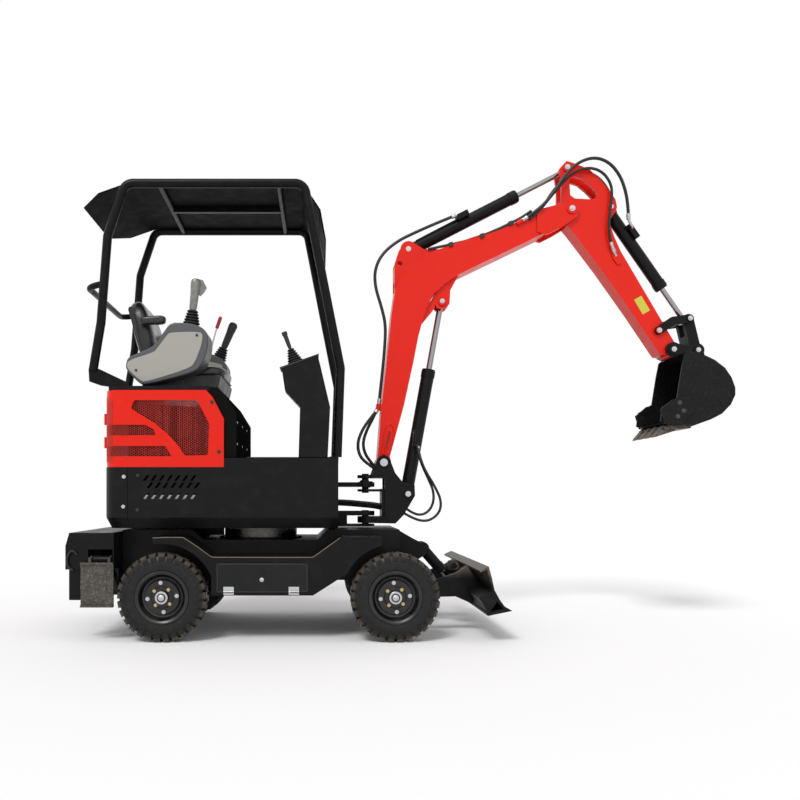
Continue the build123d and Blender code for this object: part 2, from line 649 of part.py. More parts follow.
cover_rear_x = house_rear_x + 5
cover_corner_radius = rear_corner_radius - 5.0
door_half = house_half_width - cover_corner_radius - 25.0
cover_slope = [(-1117, cover_top_z), (-1083, cover_top_z - 37), (deck_rear_x - 1, 1166)]
grille_opening = [
    (-1514, 1220), (-1497, 1264), (-1164, 1264), (-1100, 1139), (-1106, 974), (-1231, 971), (-1258, 1018),
    (-1319, 1085), (-1393, 1146),
]
upper_slot = [(-1440, 1134), (-1393, 1109), (-1383, 1079)]
lower_slot = [(-1332, 1022), (-1299, 968)]
slot_post = 16.0
with BuildPart() as cover:
    rounded_block(cover_rear_x, deck_rear_x - 1, house_half_width, cover_corner_radius, house_top_z, cover_top_z)
    slab([(-1117, cover_top_z + 1)] + cover_slope + [(deck_rear_x, 1166), (deck_rear_x, cover_top_z + 1)],
         -house_half_width - 1, house_half_width + 1, mode=Mode.SUBTRACT)
    rounded_block(cover_rear_x + cover_wall, deck_rear_x, house_half_width - cover_wall,
                  cover_corner_radius - cover_wall, house_top_z - 1, cover_top_z - cover_wall, mode=Mode.SUBTRACT)
    slab([(-1124, cover_top_z)] + cover_slope + [(deck_rear_x - 1, 1136), (deck_rear_x - 6, 1136),
          (deck_rear_x - 6, 1163), (-1088, cover_top_z - 42), (-1124, cover_top_z - cover_wall)],
         -house_half_width + 1, house_half_width - 1)
    block(cover_rear_x - 1, cover_rear_x + 60, -door_half, door_half, house_top_z + 40, cover_top_z - 40,
          mode=Mode.SUBTRACT)
    for side in (-1, 1):
        low, high = sorted((side * (house_half_width - cover_wall - 1), side * (house_half_width + 1)))
        soft_slab(grille_opening, 12.0, low, high, mode=Mode.SUBTRACT)
        low, high = sorted((side * (door_half + slot_post), side * (house_half_width + 1)))
        for slot, slot_low, slot_high in ((upper_slot, 1079, 1134), (lower_slot, 968, 1022)):
            slab([(cover_rear_x - 1, slot_high)] + slot + [(cover_rear_x - 1, slot_low)], low, high,
                 mode=Mode.SUBTRACT)
save(cover, "engine_cover")

# Wire mesh behind the cover's openings, bent round its rear corners
mesh_thickness = 2.0
mesh_inset = cover_wall
mesh_front_x = -1092.0
mesh_bottom_z = 940.0
mesh_top_z = 1274.0
with BuildPart() as grilles:
    rounded_block(cover_rear_x + mesh_inset, mesh_front_x, house_half_width - mesh_inset,
                  cover_corner_radius - mesh_inset, mesh_bottom_z, mesh_top_z)
    rounded_block(cover_rear_x + mesh_inset + mesh_thickness, mesh_front_x + 1,
                  house_half_width - mesh_inset - mesh_thickness, cover_corner_radius - mesh_inset - mesh_thickness,
                  mesh_bottom_z - 1, mesh_top_z + 1, mode=Mode.SUBTRACT)
    block(cover_rear_x, mesh_front_x + 1, -door_half - 4, door_half + 4, mesh_bottom_z - 1, mesh_top_z + 1,
          mode=Mode.SUBTRACT)
save(grilles, "cover_grilles")

door_plate = 6.0
door_hinge_radius = 8.0
door_hinge = (cover_rear_x - door_plate - door_hinge_radius / 2, -door_half - 24.0)
with BuildPart() as rear_door:
    block(cover_rear_x - door_plate, cover_rear_x - 0.5, -door_half - 20, door_half + 20, house_top_z + 22,
          cover_top_z - 24)
    for z in (1045, 1170):
        bar((*door_hinge, z - 30), (*door_hinge, z + 30), door_hinge_radius)
save(rear_door, "rear_door")

with BuildPart() as lid:
    block(cover_rear_x + 24, -1100, -house_half_width + 14, house_half_width - 14, cover_top_z,
          cover_top_z + cover_lid_height)
save(lid, "cover_lid")

# Seat, its base and the black panel in front of the engine
with BuildPart() as seat_base:
    slab([(-1100, cover_top_z), (-1100, cover_top_z + 24), (-1079, cover_top_z + 4), (-944, 1252), (-898, 1125),
          (-894, deck_top_z), (deck_rear_x, deck_top_z), (deck_rear_x, 1172), (-1078, 1284), (-1112, cover_top_z)],
         -300, 300)
    block(-1500, -1090, -180, 180, cover_top_z + cover_lid_height, 1412)
save(seat_base, "seat_base")

with BuildPart() as seat:
    slab([(-1500, 1412), (-1060, 1412), (-1040, 1450), (-1060, 1490), (-1440, 1480), (-1470, 1560), (-1510, 1740),
          (-1560, 1846), (-1590, 1850), (-1604, 1830), (-1560, 1640), (-1530, 1500)], -seat_half_width,
         seat_half_width)
    fillet(seat.edges().filter_by(Axis.Z, reverse=True).filter_by(Axis.Y, reverse=True), radius=18)
save(seat, "seat")


def make_console(side):
    suffix = "right" if side < 0 else "left"
    inner = side * (console_y - 75)
    outer = side * (console_y + 75)
    low, high = sorted((inner, outer))
    with BuildPart() as console:
        soft_slab([(-1559, 1476), (-1421, 1552), (-1344, 1667), (-1266, 1690), (-1142, 1690), (-1112, 1600),
                   (-1133, 1503), (-1187, 1445), (-1467, 1356), (-1557, 1440)], 14.0, low, high)
        foot_low, foot_high = sorted((side * 215, inner + side * 20))
        slab([(-1440, cover_top_z + cover_lid_height), (-1440, 1400), (-1260, 1440), (-1220, 1400),
              (-1220, cover_top_z + cover_lid_height)], foot_low, foot_high)
    save(console, f"console_{suffix}")
    with BuildPart() as joystick:
        with BuildSketch(Plane(origin=(-1190, side * (console_y + 25), 1690))):
            Circle(38)
        with BuildSketch(Plane(origin=(-1186, side * (console_y + 25), 1760))):
            Circle(18)
        loft()
        bar((-1186, side * (console_y + 25), 1755), (-1168, side * (console_y + 25), 1925), 16)
    save(joystick, f"joystick_{suffix}")


make_console(-1)
make_console(1)

lever_y = house_half_width - 80.0
with BuildPart() as front_console:
    slab([(-728, 1480), (-524, 1560), (-460, 1290), (-473, deck_top_z), (-633, deck_top_z), (-623, 1250)],
         -lever_y - 60, -lever_y + 60)
save(front_console, "front_console")

with BuildPart() as front_lever:
    bar((-649.8, -lever_y, 1511.0), (-674, -lever_y, 1574), 20)
    bar((-672, -lever_y, 1570), (-700, -lever_y, 1700), 9)
save(front_lever, "front_lever")


# Canopy: a bent tube each side, joined by a rear bar and roof panels
lid_top_z = cover_top_z + cover_lid_height
foot_plate = 8.0
roof_lift = 8.0
seat_gap = 0.3
rib_radius = 14.0
rib_places = (-1377, -735)
visor_cut = 110.0
visor_rear_x = -1820.0
roof_half = post_y - math.sqrt(tube_radius**2 - roof_lift**2) - seat_gap


def canopy_path(side):
    y = side * post_y
    return [
        (-1733, y, 1430), (-1690, y, 1690), (-1655, y, 2153), (-1560, y, canopy_top_z), (-600, y, canopy_top_z),
        (-504, y, 1945), (-405, y, 1445), (-422, y, deck_top_z + foot_plate),
    ]


with BuildPart() as canopy_frame:
    for side in (-1, 1):
        with BuildLine() as route:
            FilletPolyline(*canopy_path(side), radius=60)
        with BuildSketch(Plane(origin=route.line @ 0, z_dir=route.line % 0)):
            Circle(tube_radius)
        sweep(path=route.line)
        low, high = sorted((side * (post_y - 6), side * (post_y + 6)))
        slab([(-1756, 1440), (-1752, 1372), (-1690, 1350), (-1630, lid_top_z), (-1540, lid_top_z), (-1540, 1364),
              (-1700, 1440)], low, high)
    for side in (-1, 1):
        block(-466, house_front_x - 2, side * post_y - 40, side * post_y + 40, deck_top_z, deck_top_z + foot_plate + 1)
    with BuildLine() as guard:
        FilletPolyline((-1672, -post_y, 1900), (-1768, -post_y + 30, 1884), (-1768, post_y - 30, 1884),
                       (-1672, post_y, 1900), radius=60)
    with BuildSketch(Plane(origin=guard.line @ 0, z_dir=guard.line % 0)):
        Circle(17)
    sweep(path=guard.line)
    rib_z = canopy_top_z + roof_lift - seat_gap - rib_radius
    for x in rib_places:
        bar((x, -post_y, rib_z), (x, post_y, rib_z), rib_radius)
    block(*rib_places, -rib_radius, rib_radius, rib_z - rib_radius, rib_z + rib_radius)
save(canopy_frame, "canopy_frame")

with BuildPart() as canopy_roof:
    slab([(-1545, canopy_top_z + 8), (-615, canopy_top_z + 8), (-520, 2300), (-490, 2140), (-482, 2140),
          (-512, 2304), (-610, canopy_top_z + 14), (-1550, canopy_top_z + 14), (visor_rear_x, 2354),
          (visor_rear_x, 2348)], -roof_half, roof_half)
    for side in (-1, 1):
        flat_slab([(visor_rear_x - 1, side * (roof_half - visor_cut)), (visor_rear_x - 1, side * (roof_half + 1)),
                   (visor_rear_x + visor_cut, side * (roof_half + 1))], 2300, canopy_top_z, mode=Mode.SUBTRACT)
save(canopy_roof, "canopy_roof")

# Swing bracket: two plates and three pivot plates on the house nose
bracket_side = [
    (-198, 602), (-82, 600), (-35, 649), (30, 759), (28, 821), (-44, 842), (-84, 891), (-106, 948), (-192, 950),
    (-216, 881), (-216, 862), (-143, 862), (-143, 640), (-198, 640),
]
with BuildPart() as swing_bracket:
    for side in (-1, 1):
        low, high = sorted((side * bracket_inner_y, side * (bracket_inner_y + bracket_plate)))
        slab(bracket_side, low, high)
        boss(boom_foot, 42, low, high)
        boss(boom_cylinder_foot, 40, low, high)
        low, high = sorted((side * 62, side * bracket_inner_y))
        boss(boom_cylinder_foot, 34, low, high)
        low, high = sorted((side * (bracket_inner_y + bracket_plate), side * (bracket_inner_y + bracket_plate + 8)))
        boss(boom_foot, 30, low, high)
        boss(boom_cylinder_foot, 28, low, high)
    for low, high in ((862, 880), (784, 798), (602, 640)):
        block(swing_x, -130, -bracket_inner_y, bracket_inner_y, low, high)
        bar((swing_x, 0, low), (swing_x, 0, high), swing_boss_radius)
    block(-160, -130, -bracket_inner_y, bracket_inner_y, 610, 800)
    bar((swing_x, 0, 590), (swing_x, 0, 890), swing_pin_radius + pin_play, mode=Mode.SUBTRACT)
    boss(boom_foot, big_pin_radius, -bracket_inner_y - 1, bracket_inner_y + 1)
    boss(boom_cylinder_foot, pin_radius, -63, 63)
save(swing_bracket, "swing_bracket")

# Hoses that ride with the boom: one feeds the arm cylinder, and one on each side of the boom's tip loops over
# the arm's head to the bucket cylinder. Each arc is as large as its two runs allow.
hose_clamp_length = 36.0
hose_clamp_radius = hose_radius + 6.0
boom_side_y = boom_half_width + hose_radius + 2.0
feed_y = -46.0
feed_route = [
    (278, feed_y, 2388), (165, feed_y + 1, 2343), (45, feed_y, 2290), (-66, feed_y - 1, 2237),
    (-158, feed_y, 2160), (-199, feed_y, 2065), (-194, feed_y - 1, 1965), (-160, feed_y, 1860),
    (-133, feed_y + 1, 1750), (-141, feed_y, 1600), (-157, feed_y - 1, 1440), (-174, feed_y, 1290),
]


def tip_route(side):
    return [
        (650, side * boom_side_y, 2345), (735, side * 99, 2397), (815, side * 103, 2481), (884, side * 104, 2593),
        (966, side * 104, 2672), (1059, side * 103, 2701), (1142, side * 102, 2672), (1203, side * 101, 2600),
        (1236, side * 99, 2515), (1254, side * 92, 2430), (1262, side * 80, 2350),
    ]


def hose_clamp(inner, end):
    """A clamp that a hose runs into: it starts at the hose's end and goes on the way the hose was going."""
    way = (Vector(*end) - Vector(*inner)).normalized()
    bar(end, tuple(Vector(*end) + way * hose_clamp_length), hose_clamp_radius)


def hose_tube(points):
    """A round tube along straight runs joined by tangent arcs."""
    radii = []
    for before, here, after in zip(points, points[1:], points[2:]):
        way_in = Vector(*here) - Vector(*before)
        way_out = Vector(*after) - Vector(*here)
        half_turn = math.radians(way_in.get_angle(way_out)) / 2
        radii.append(0.45 * min(way_in.length, way_out.length) / math.tan(half_turn))
    with BuildLine() as route:
        FilletPolyline(*points, radius=radii)
    with BuildSketch(Plane(origin=route.line @ 0, z_dir=route.line % 0)) as section:
        Circle(hose_radius)
    sweep(section.sketch, path=route.line)
    length = route.wires()[0].length
    print("hose", round(length), "mm long, radii", [round(radius) for radius in radii])
    return math.pi * hose_radius**2 * length


with BuildPart() as hose_feed:
    feed_volume = hose_tube(feed_route)
print("feed hose: volume against its section", round(hose_feed.part.volume / feed_volume, 4))
save(hose_feed, "hose_feed")

with BuildPart() as hose_tips:
    tip_volume = sum(hose_tube(tip_route(side)) for side in (-1, 1))
print("tip hoses: volume against their section", round(hose_tips.part.volume / tip_volume, 4))
save(hose_tips, "hose_tips")

# Boom: a curved hollow box with a foot boss, two sets of lugs and a fork at its tip
boom_outline = [
    (-182, 985), (-161, 1266), (-135, 1487), (-113, 1698), (-100, 1822), (-81, 1950), (-50, 2030), (-14, 2081),
    (74, 2147), (184, 2186), (350, 2246), (614, 2335), (735, 2384), (779, 2396), (800, 2340), (790, 2280),
    (288, 2038), (209, 1986), (143, 1924), (98, 1840), (72, 1752), (52, 1677), (24, 1532), (-32, 1276), (-112, 985),
]
boom_cavity = [
    (-160, 1060), (-150, 1262), (-124, 1485), (-102, 1696), (-89, 1820), (-70, 1946), (-41, 2023), (-8, 2072),
    (79, 2137), (187, 2176), (353, 2236), (617, 2325), (737, 2373), (770, 2382), (782, 2338), (776, 2286),
    (284, 2048), (203, 1995), (135, 1931), (88, 1843), (61, 1755), (41, 1679), (13, 1534), (-43, 1278), (-98, 1060),
]
lug_inner_y = 36.0
lug_plate = 16.0
fork_inner_y = 66.0
fork_plate = 16.0
with BuildPart() as boom:
    slab(boom_outline, -boom_half_width, boom_half_width)
    slab(boom_cavity, -boom_half_width + boom_wall, boom_half_width - boom_wall, mode=Mode.SUBTRACT)
    slab([(-182, 985), (boom_foot[0] - 40, 950), (boom_foot[0] + 40, 950), (-112, 990)], -boom_half_width,
         boom_half_width)
    boss(boom_foot, 41, -bracket_inner_y + 1, bracket_inner_y - 1)
    boss(boom_foot, big_pin_radius + pin_play, -bracket_inner_y, bracket_inner_y, mode=Mode.SUBTRACT)
    for side in (-1, 1):
        low, high = sorted((side * lug_inner_y, side * (lug_inner_y + lug_plate)))
        slab([(62, 1745), (150, 1850), (152, 1870), (235, 1870), (240, 1950), (292, 2046), (200, 1990), (90, 1840)],
             low, high)
        boss(boom_cylinder_head, 43, low, high)
        outer_low, outer_high = sorted((side * (lug_inner_y + lug_plate), side * (lug_inner_y + lug_plate + 10)))
        boss(boom_cylinder_head, 24, outer_low, outer_high)
        low, high = sorted((side * fork_inner_y, side * (fork_inner_y + fork_plate)))
        slab([(735, 2280), (790, 2263), (857, 2296), (912, 2329), (967, 2368), (975, 2412), (923, 2455), (735, 2405)],
             low, high)
        boss(arm_pin, 45, low, high)
        outer_low, outer_high = sorted((side * (fork_inner_y + fork_plate), side * (fork_inner_y + fork_plate + 8)))
        boss(arm_pin, 30, outer_low, outer_high)
        hose_start, hose_next = tip_route(side)[:2]
        hose_clamp(hose_next, hose_start)
    hose_clamp(*feed_route[-2:])
    boss(arm_pin, big_pin_radius, -fork_inner_y - 1, fork_inner_y + 1)
save(boom, "boom")

# Lug plates on the boom's back for the arm cylinder, with a lifting hole through them
bend = list(reversed(boom_outline[5:10]))
lifting_hole = (-52.0, 2106.0)
lifting_hole_radius = 15.0
with BuildPart() as boom_bracket:
    for side in (-1, 1):
        low, high = sorted((side * lug_inner_y, side * (lug_inner_y + lug_plate + 4)))
        slab([(-84, 1956), (-84, 2100), (-60, 2175), (-40, 2200), (34, 2220), (85, 2187), *bend], low, high)
        boss(arm_cylinder_foot, 46, low, high)
    block(-84, -66, -lug_inner_y, lug_inner_y, 2000, 2090)
    boss(arm_cylinder_foot, pin_radius, -lug_inner_y - 1, lug_inner_y + 1)
    boss(lifting_hole, lifting_hole_radius, -lug_inner_y - 40, lug_inner_y + 40, mode=Mode.SUBTRACT)
save(boom_bracket, "boom_bracket")

# Arm: a hollow box with an open forked head
arm_outline = [
    (868, 2648), (911, 2697), (952, 2685), (1007, 2664), (1048, 2644), (1106, 2592), (1158, 2527), (1195, 2475),
    (1204, 2431), (1199, 2412), (1158, 2349), (1187, 2261), (1224, 2177), (1468, 1762), (1545, 1633), (1560, 1595),
    (1530, 1562), (1490, 1570), (1452, 1577), (1282, 1829), (1107, 2076), (942, 2293), (915, 2324), (880, 2449),
    (882, 2548),
]
arm_window = [
    (930, 2592), (952, 2609), (1004, 2592), (1048, 2556), (1084, 2519), (1088, 2504), (1077, 2479), (1048, 2475),
    (959, 2480), (933, 2500), (930, 2548),
]
arm_slot = [
    (840, 2472), (1000, 2472), (1100, 2385), (1130, 2330), (1270, 2330), (1270, 2560), (1100, 2740), (840, 2740),
]
arm_cavity = [
    (990, 2345), (970, 2312), (1125, 2090), (1290, 1860), (1345, 1797), (1394, 1848), (1210, 2172), (1174, 2258),
    (1142, 2318), (1096, 2350), (1010, 2376),
]
with BuildPart() as arm:
    slab(arm_outline, -arm_half_width, arm_half_width)
    boss(arm_pin, 50, -fork_inner_y + 1, fork_inner_y - 1)
    boss(bucket_pin, 42, -ear_inner_y + 1, ear_inner_y - 1)
    boss(rocker_pin, 32, -ear_inner_y + 1, ear_inner_y - 1)
    slab(arm_slot, -lug_inner_y - 2, lug_inner_y + 2, mode=Mode.SUBTRACT)
    slab(arm_cavity, -arm_half_width + arm_wall, arm_half_width - arm_wall, mode=Mode.SUBTRACT)
    slab(arm_window, -arm_half_width - 1, arm_half_width + 1, mode=Mode.SUBTRACT)
    boss(arm_pin, big_pin_radius + pin_play, -fork_inner_y, fork_inner_y, mode=Mode.SUBTRACT)
    boss(bucket_pin, big_pin_radius + pin_play, -ear_inner_y, ear_inner_y, mode=Mode.SUBTRACT)
    boss(rocker_pin, pin_radius, -ear_inner_y - 16, ear_inner_y + 16)
    boss(bucket_cylinder_foot, pin_radius, -arm_half_width - 8, arm_half_width + 8)
    for side in (-1, 1):
        low, high = sorted((side * arm_half_width, side * (arm_half_width + 8)))
        boss(arm_cylinder_head, 26, low, high)
save(arm, "arm")

# Rocker and link between the bucket cylinder, the arm and the bucket
bar_plate = 12.0


def oblong(start, end, radius, y_low, y_high):
    """A flat bar with round ends between two pins."""
    length = math.dist(start, end)
    nx, nz = -(end[1] - start[1]) / length * radius, (end[0] - start[0]) / length * radius
    slab([(start[0] + nx, start[1] + nz), (end[0] + nx, end[1] + nz), (end[0] - nx, end[1] - nz),
          (start[0] - nx, start[1] - nz)], y_low, y_high)
    boss(start, radius, y_low, y_high)
    boss(end, radius, y_low, y_high)


tie_place = along(rocker_pin, link_pin, 133.0)
rocker_bend = (1520.0, 1768.0)
with BuildPart() as rocker:
    for side in (-1, 1):
        low, high = sorted((side * ear_inner_y, side * (ear_inner_y + bar_plate)))
        oblong(rocker_pin, rocker_bend, 24, low, high)
        oblong(rocker_bend, link_pin, 24, low, high)
        low, high = sorted((side * 30, side * (ear_inner_y + bar_plate + 6)))
        boss(link_pin, pin_radius, low, high)
    boss(tie_place, 9, -ear_inner_y - 1, ear_inner_y + 1)
    boss(rocker_pin, pin_radius + pin_play, -ear_inner_y - bar_plate - 1, ear_inner_y + bar_plate + 1,
         mode=Mode.SUBTRACT)
save(rocker, "rocker")

link_half = 58.0
with BuildPart() as link:
    oblong(link_pin, bucket_link_pin, 30, -link_half, link_half)
    slab(shifted(link_pin, [(-60, 50), (60, 50), (60, -70), (30, -95), (-20, -95), (-60, -70)]), -30, 30,
         mode=Mode.SUBTRACT)
    boss(link_pin, pin_radius + pin_play, -link_half - 1, link_half + 1, mode=Mode.SUBTRACT)
save(link, "bucket_link")

# Bucket
bucket_side = [
    (1561, 1580), (1540, 1560), (1524, 1481), (1497, 1311), (1416, 1261), (1404, 1179), (1470, 1146), (1565, 1146),
    (1578, 1150), (1689, 1190), (1751, 1222), (1801, 1274), (1826, 1328), (1826, 1369), (1805, 1427), (1768, 1481),
    (1710, 1526), (1648, 1555),
]
bucket_cavity = [
    (1380, 1566), (1560, 1566), (1645, 1544), (1703, 1516), (1758, 1473), (1795, 1422), (1815, 1367), (1815, 1331),
    (1792, 1281), (1745, 1233), (1685, 1202), (1574, 1162), (1475, 1160), (1380, 1180),
]
tooth_places = (-142.0, -47.0, 47.0, 142.0)
tooth_half_width = 24.0
with BuildPart() as bucket:
    slab(bucket_side, -bucket_half_width, bucket_half_width)
    slab(bucket_cavity, -bucket_half_width + bucket_wall, bucket_half_width - bucket_wall, mode=Mode.SUBTRACT)
    slab([(1420, 1150), (1425, 1132), (1575, 1140), (1578, 1162), (1475, 1162)], -bucket_half_width,
         bucket_half_width)
    for y in tooth_places:
        slab([(1500, 1164), (1490, 1126), (1376, 1090), (1384, 1106), (1430, 1160)], y - tooth_half_width,
             y + tooth_half_width)
    for side in (-1, 1):
        low, high = sorted((side * ear_inner_y, side * (ear_inner_y + ear_plate)))
        slab([(1521, 1644), (1600, 1622), (1661, 1637), (1697, 1585), (1705, 1530), (1640, 1546), (1560, 1568),
              (1545, 1560), (1490, 1570), (1480, 1600)], low, high)
        boss(bucket_pin, 42, low, high)
        boss(bucket_link_pin, 38, low, high)
        low, high = sorted((side * (ear_inner_y + ear_plate), side * (ear_inner_y + ear_plate + 8)))
        boss(bucket_pin, 30, low, high)
        boss(bucket_link_pin, 26, low, high)
    boss(bucket_pin, big_pin_radius, -ear_inner_y - 1, ear_inner_y + 1)
save(bucket, "bucket")

make_cylinder("boom_cylinder", boom_cylinder_foot, boom_cylinder_head, boom_barrel_radius, boom_barrel_length,
              boom_rod_radius, 60.0, cylinder_eye_half, 110.0)
make_cylinder("arm_cylinder", arm_cylinder_foot, arm_cylinder_head, arm_barrel_radius, arm_barrel_length,
              arm_rod_radius, 33.0, cylinder_eye_half, 170.0)
make_cylinder("bucket_cylinder", bucket_cylinder_foot, link_pin, arm_barrel_radius, bucket_barrel_length,
              arm_rod_radius, 33.0, 25.0, 170.0)
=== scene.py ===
# %% [markdown]
# # Small wheeled excavator
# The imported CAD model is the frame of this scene: each steel piece already has its real size and place.
# This script dresses it with paint, rubber, steel and vinyl, then adds what a factory fits last: hoses,
# fasteners, wire mesh, the soft seat and the controls. Lengths are metres, X points forward, Y to the
# machine's left and Z up from the floor.

import json
import math

import bmesh
import bpy
from mathutils import Matrix, Vector

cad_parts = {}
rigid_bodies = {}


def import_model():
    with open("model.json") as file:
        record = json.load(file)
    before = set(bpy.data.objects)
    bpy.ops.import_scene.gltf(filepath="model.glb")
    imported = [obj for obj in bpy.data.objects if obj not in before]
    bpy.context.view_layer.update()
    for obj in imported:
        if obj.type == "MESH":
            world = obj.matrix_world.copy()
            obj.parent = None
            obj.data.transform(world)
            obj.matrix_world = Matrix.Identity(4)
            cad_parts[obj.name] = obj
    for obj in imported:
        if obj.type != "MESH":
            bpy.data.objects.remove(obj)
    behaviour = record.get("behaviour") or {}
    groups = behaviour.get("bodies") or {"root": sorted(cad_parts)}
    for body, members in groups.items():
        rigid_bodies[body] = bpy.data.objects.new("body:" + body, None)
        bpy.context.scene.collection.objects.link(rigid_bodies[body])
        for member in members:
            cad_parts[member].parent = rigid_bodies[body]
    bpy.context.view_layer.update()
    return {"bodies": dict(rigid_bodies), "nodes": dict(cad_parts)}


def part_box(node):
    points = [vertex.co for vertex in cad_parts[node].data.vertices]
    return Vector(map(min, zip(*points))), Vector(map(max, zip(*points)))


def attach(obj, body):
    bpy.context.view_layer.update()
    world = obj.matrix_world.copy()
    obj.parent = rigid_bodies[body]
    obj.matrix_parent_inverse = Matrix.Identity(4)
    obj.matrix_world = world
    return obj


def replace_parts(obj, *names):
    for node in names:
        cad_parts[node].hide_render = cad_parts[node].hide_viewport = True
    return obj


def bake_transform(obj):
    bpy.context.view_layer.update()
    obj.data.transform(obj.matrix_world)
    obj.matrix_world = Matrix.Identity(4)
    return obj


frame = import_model()
nodes = frame["nodes"]
print("nodes in the frame:", len(nodes))

# %% [markdown]
# The photograph was taken level and square to the machine's right side, from 4.8 m away. A shifted
# lens, like a view camera's rising front, keeps the posts upright although the picture's middle lies
# above the lens axis.

# %% Camera
lens_axis_pixel = (320.0, 496.0)
focal_pixels = 818.0
picture_pixels = 800.0
sensor_width_mm = 36.0

camera_data = bpy.data.cameras.new("photo_camera")
camera_data.sensor_width = sensor_width_mm
camera_data.lens = sensor_width_mm * focal_pixels / picture_pixels
camera_data.shift_x = 0.5 - lens_axis_pixel[0] / picture_pixels
camera_data.shift_y = lens_axis_pixel[1] / picture_pixels - 0.5
camera = bpy.data.objects.new("photo_camera", camera_data)
camera.location = (-0.515, -4.790, 0.758)
camera.rotation_euler = (math.radians(90), 0, 0)
bpy.context.scene.collection.objects.link(camera)
bpy.context.scene.camera = camera
bpy.context.scene.view_settings.view_transform = "Standard"
print("lens in mm:", round(camera_data.lens, 2))

# %% [markdown]
# Daylight falls alike on near and far ground, so the lamps are suns with a wide, soft disc: the floor
# then has one even tone and no horizon shows. The sky is dim for the paint but white for the camera and
# for reflections, which Light Path's outputs tell apart.

# %% Floor, sky and lamps
sky_strength = 0.66
floor_tone = 0.97
floor_size = 120


def fill_inputs(tree, node, values):
    """Sets a node's inputs in turn; each value is a constant or an output to link."""
    for socket, value in zip(node.inputs, values):
        if isinstance(value, bpy.types.NodeSocket):
            tree.links.new(value, socket)
        else:
            socket.default_value = value


def maths(tree, operation, *values):
    node = tree.nodes.new("ShaderNodeMath")
    node.operation = operation
    fill_inputs(tree, node, values)
    return node.outputs["Value"]


def vector_maths(tree, operation, *values, output="Vector"):
    node = tree.nodes.new("ShaderNodeVectorMath")
    node.operation = operation
    fill_inputs(tree, node, values)
    return node.outputs[output]


def pale_floor():
    bpy.ops.mesh.primitive_plane_add(size=floor_size, location=(0, 0, 0))
    floor = bpy.context.active_object
    floor.name = "floor"
    material = bpy.data.materials.new("pale_floor")
    material.use_nodes = True
    shader = material.node_tree.nodes["Principled BSDF"]
    shader.inputs["Base Color"].default_value = (floor_tone, floor_tone, floor_tone, 1)
    shader.inputs["Roughness"].default_value = 0.9
    shader.inputs["Specular IOR Level"].default_value = 0.1
    floor.data.materials.append(material)


def even_sky():
    world = bpy.data.worlds.new("even_sky")
    bpy.context.scene.world = world
    world.use_nodes = True
    tree = world.node_tree
    dim = tree.nodes["Background"]
    dim.inputs["Color"].default_value = (1, 1, 1, 1)
    dim.inputs["Strength"].default_value = sky_strength
    white = tree.nodes.new("ShaderNodeBackground")
    white.inputs["Color"].default_value = (1, 1, 1, 1)
    white.inputs["Strength"].default_value = 1.0
    path = tree.nodes.new("ShaderNodeLightPath")
    camera_or_gloss = maths(tree, "MAXIMUM", path.outputs["Is Camera Ray"], path.outputs["Is Glossy Ray"])
    any_seen = maths(tree, "MAXIMUM", camera_or_gloss, path.outputs["Is Transmission Ray"])
    mix = tree.nodes.new("ShaderNodeMixShader")
    fill_inputs(tree, mix, (any_seen, dim.outputs["Background"], white.outputs["Background"]))
    tree.links.new(mix.outputs["Shader"], tree.nodes["World Output"].inputs["Surface"])


def soft_sun(name, towards, strength, disc_degrees):
    lamp = bpy.data.lights.new(name, "SUN")
    lamp.energy = strength
    lamp.angle = math.radians(disc_degrees)
    holder = bpy.data.objects.new(name, lamp)
    holder.rotation_euler = Vector(towards).to_track_quat("-Z", "Y").to_euler()
    bpy.context.scene.collection.objects.link(holder)


pale_floor()
even_sky()
soft_sun("key_sun", (0.35, 0.75, -0.85), 1.65, 18)
soft_sun("fill_sun", (-0.30, 0.80, -0.35), 0.15, 40)
print("lamps:", len(bpy.data.lights))

# %% [markdown]
# ## Finishes
# One builder makes every finish: a base colour that slow noise breaks up, fine grain for the bump, and
# dust that lies in patches. Only the numbers differ, so paint, plastic and rubber read as one machine
# that stands outdoors. All patterns use Object coordinates, so they stay put from every side.

# %% Finish builder


def add_noise(tree, coordinates, scale, detail):
    noise = tree.nodes.new("ShaderNodeTexNoise")
    noise.inputs["Scale"].default_value = scale
    noise.inputs["Detail"].default_value = detail
    tree.links.new(coordinates, noise.inputs["Vector"])
    return noise.outputs["Fac"]


def add_range(tree, value, low, high, to_low, to_high):
    ramp = tree.nodes.new("ShaderNodeMapRange")
    ramp.inputs["From Min"].default_value = low
    ramp.inputs["From Max"].default_value = high
    ramp.inputs["To Min"].default_value = to_low
    ramp.inputs["To Max"].default_value = to_high
    tree.links.new(value, ramp.inputs["Value"])
    return ramp.outputs["Result"]


def add_mix(tree, factor, low, high):
    """low and high are colours or colour outputs."""
    mix = tree.nodes.new("ShaderNodeMix")
    mix.data_type = "RGBA"
    tree.links.new(factor, mix.inputs["Factor"])
    for socket, value in (("A", low), ("B", high)):
        if isinstance(value, tuple):
            mix.inputs[socket].default_value = (*value, 1)
        else:
            tree.links.new(value, mix.inputs[socket])
    return mix.outputs["Result"]


bare_steel = (0.15, 0.12, 0.095)


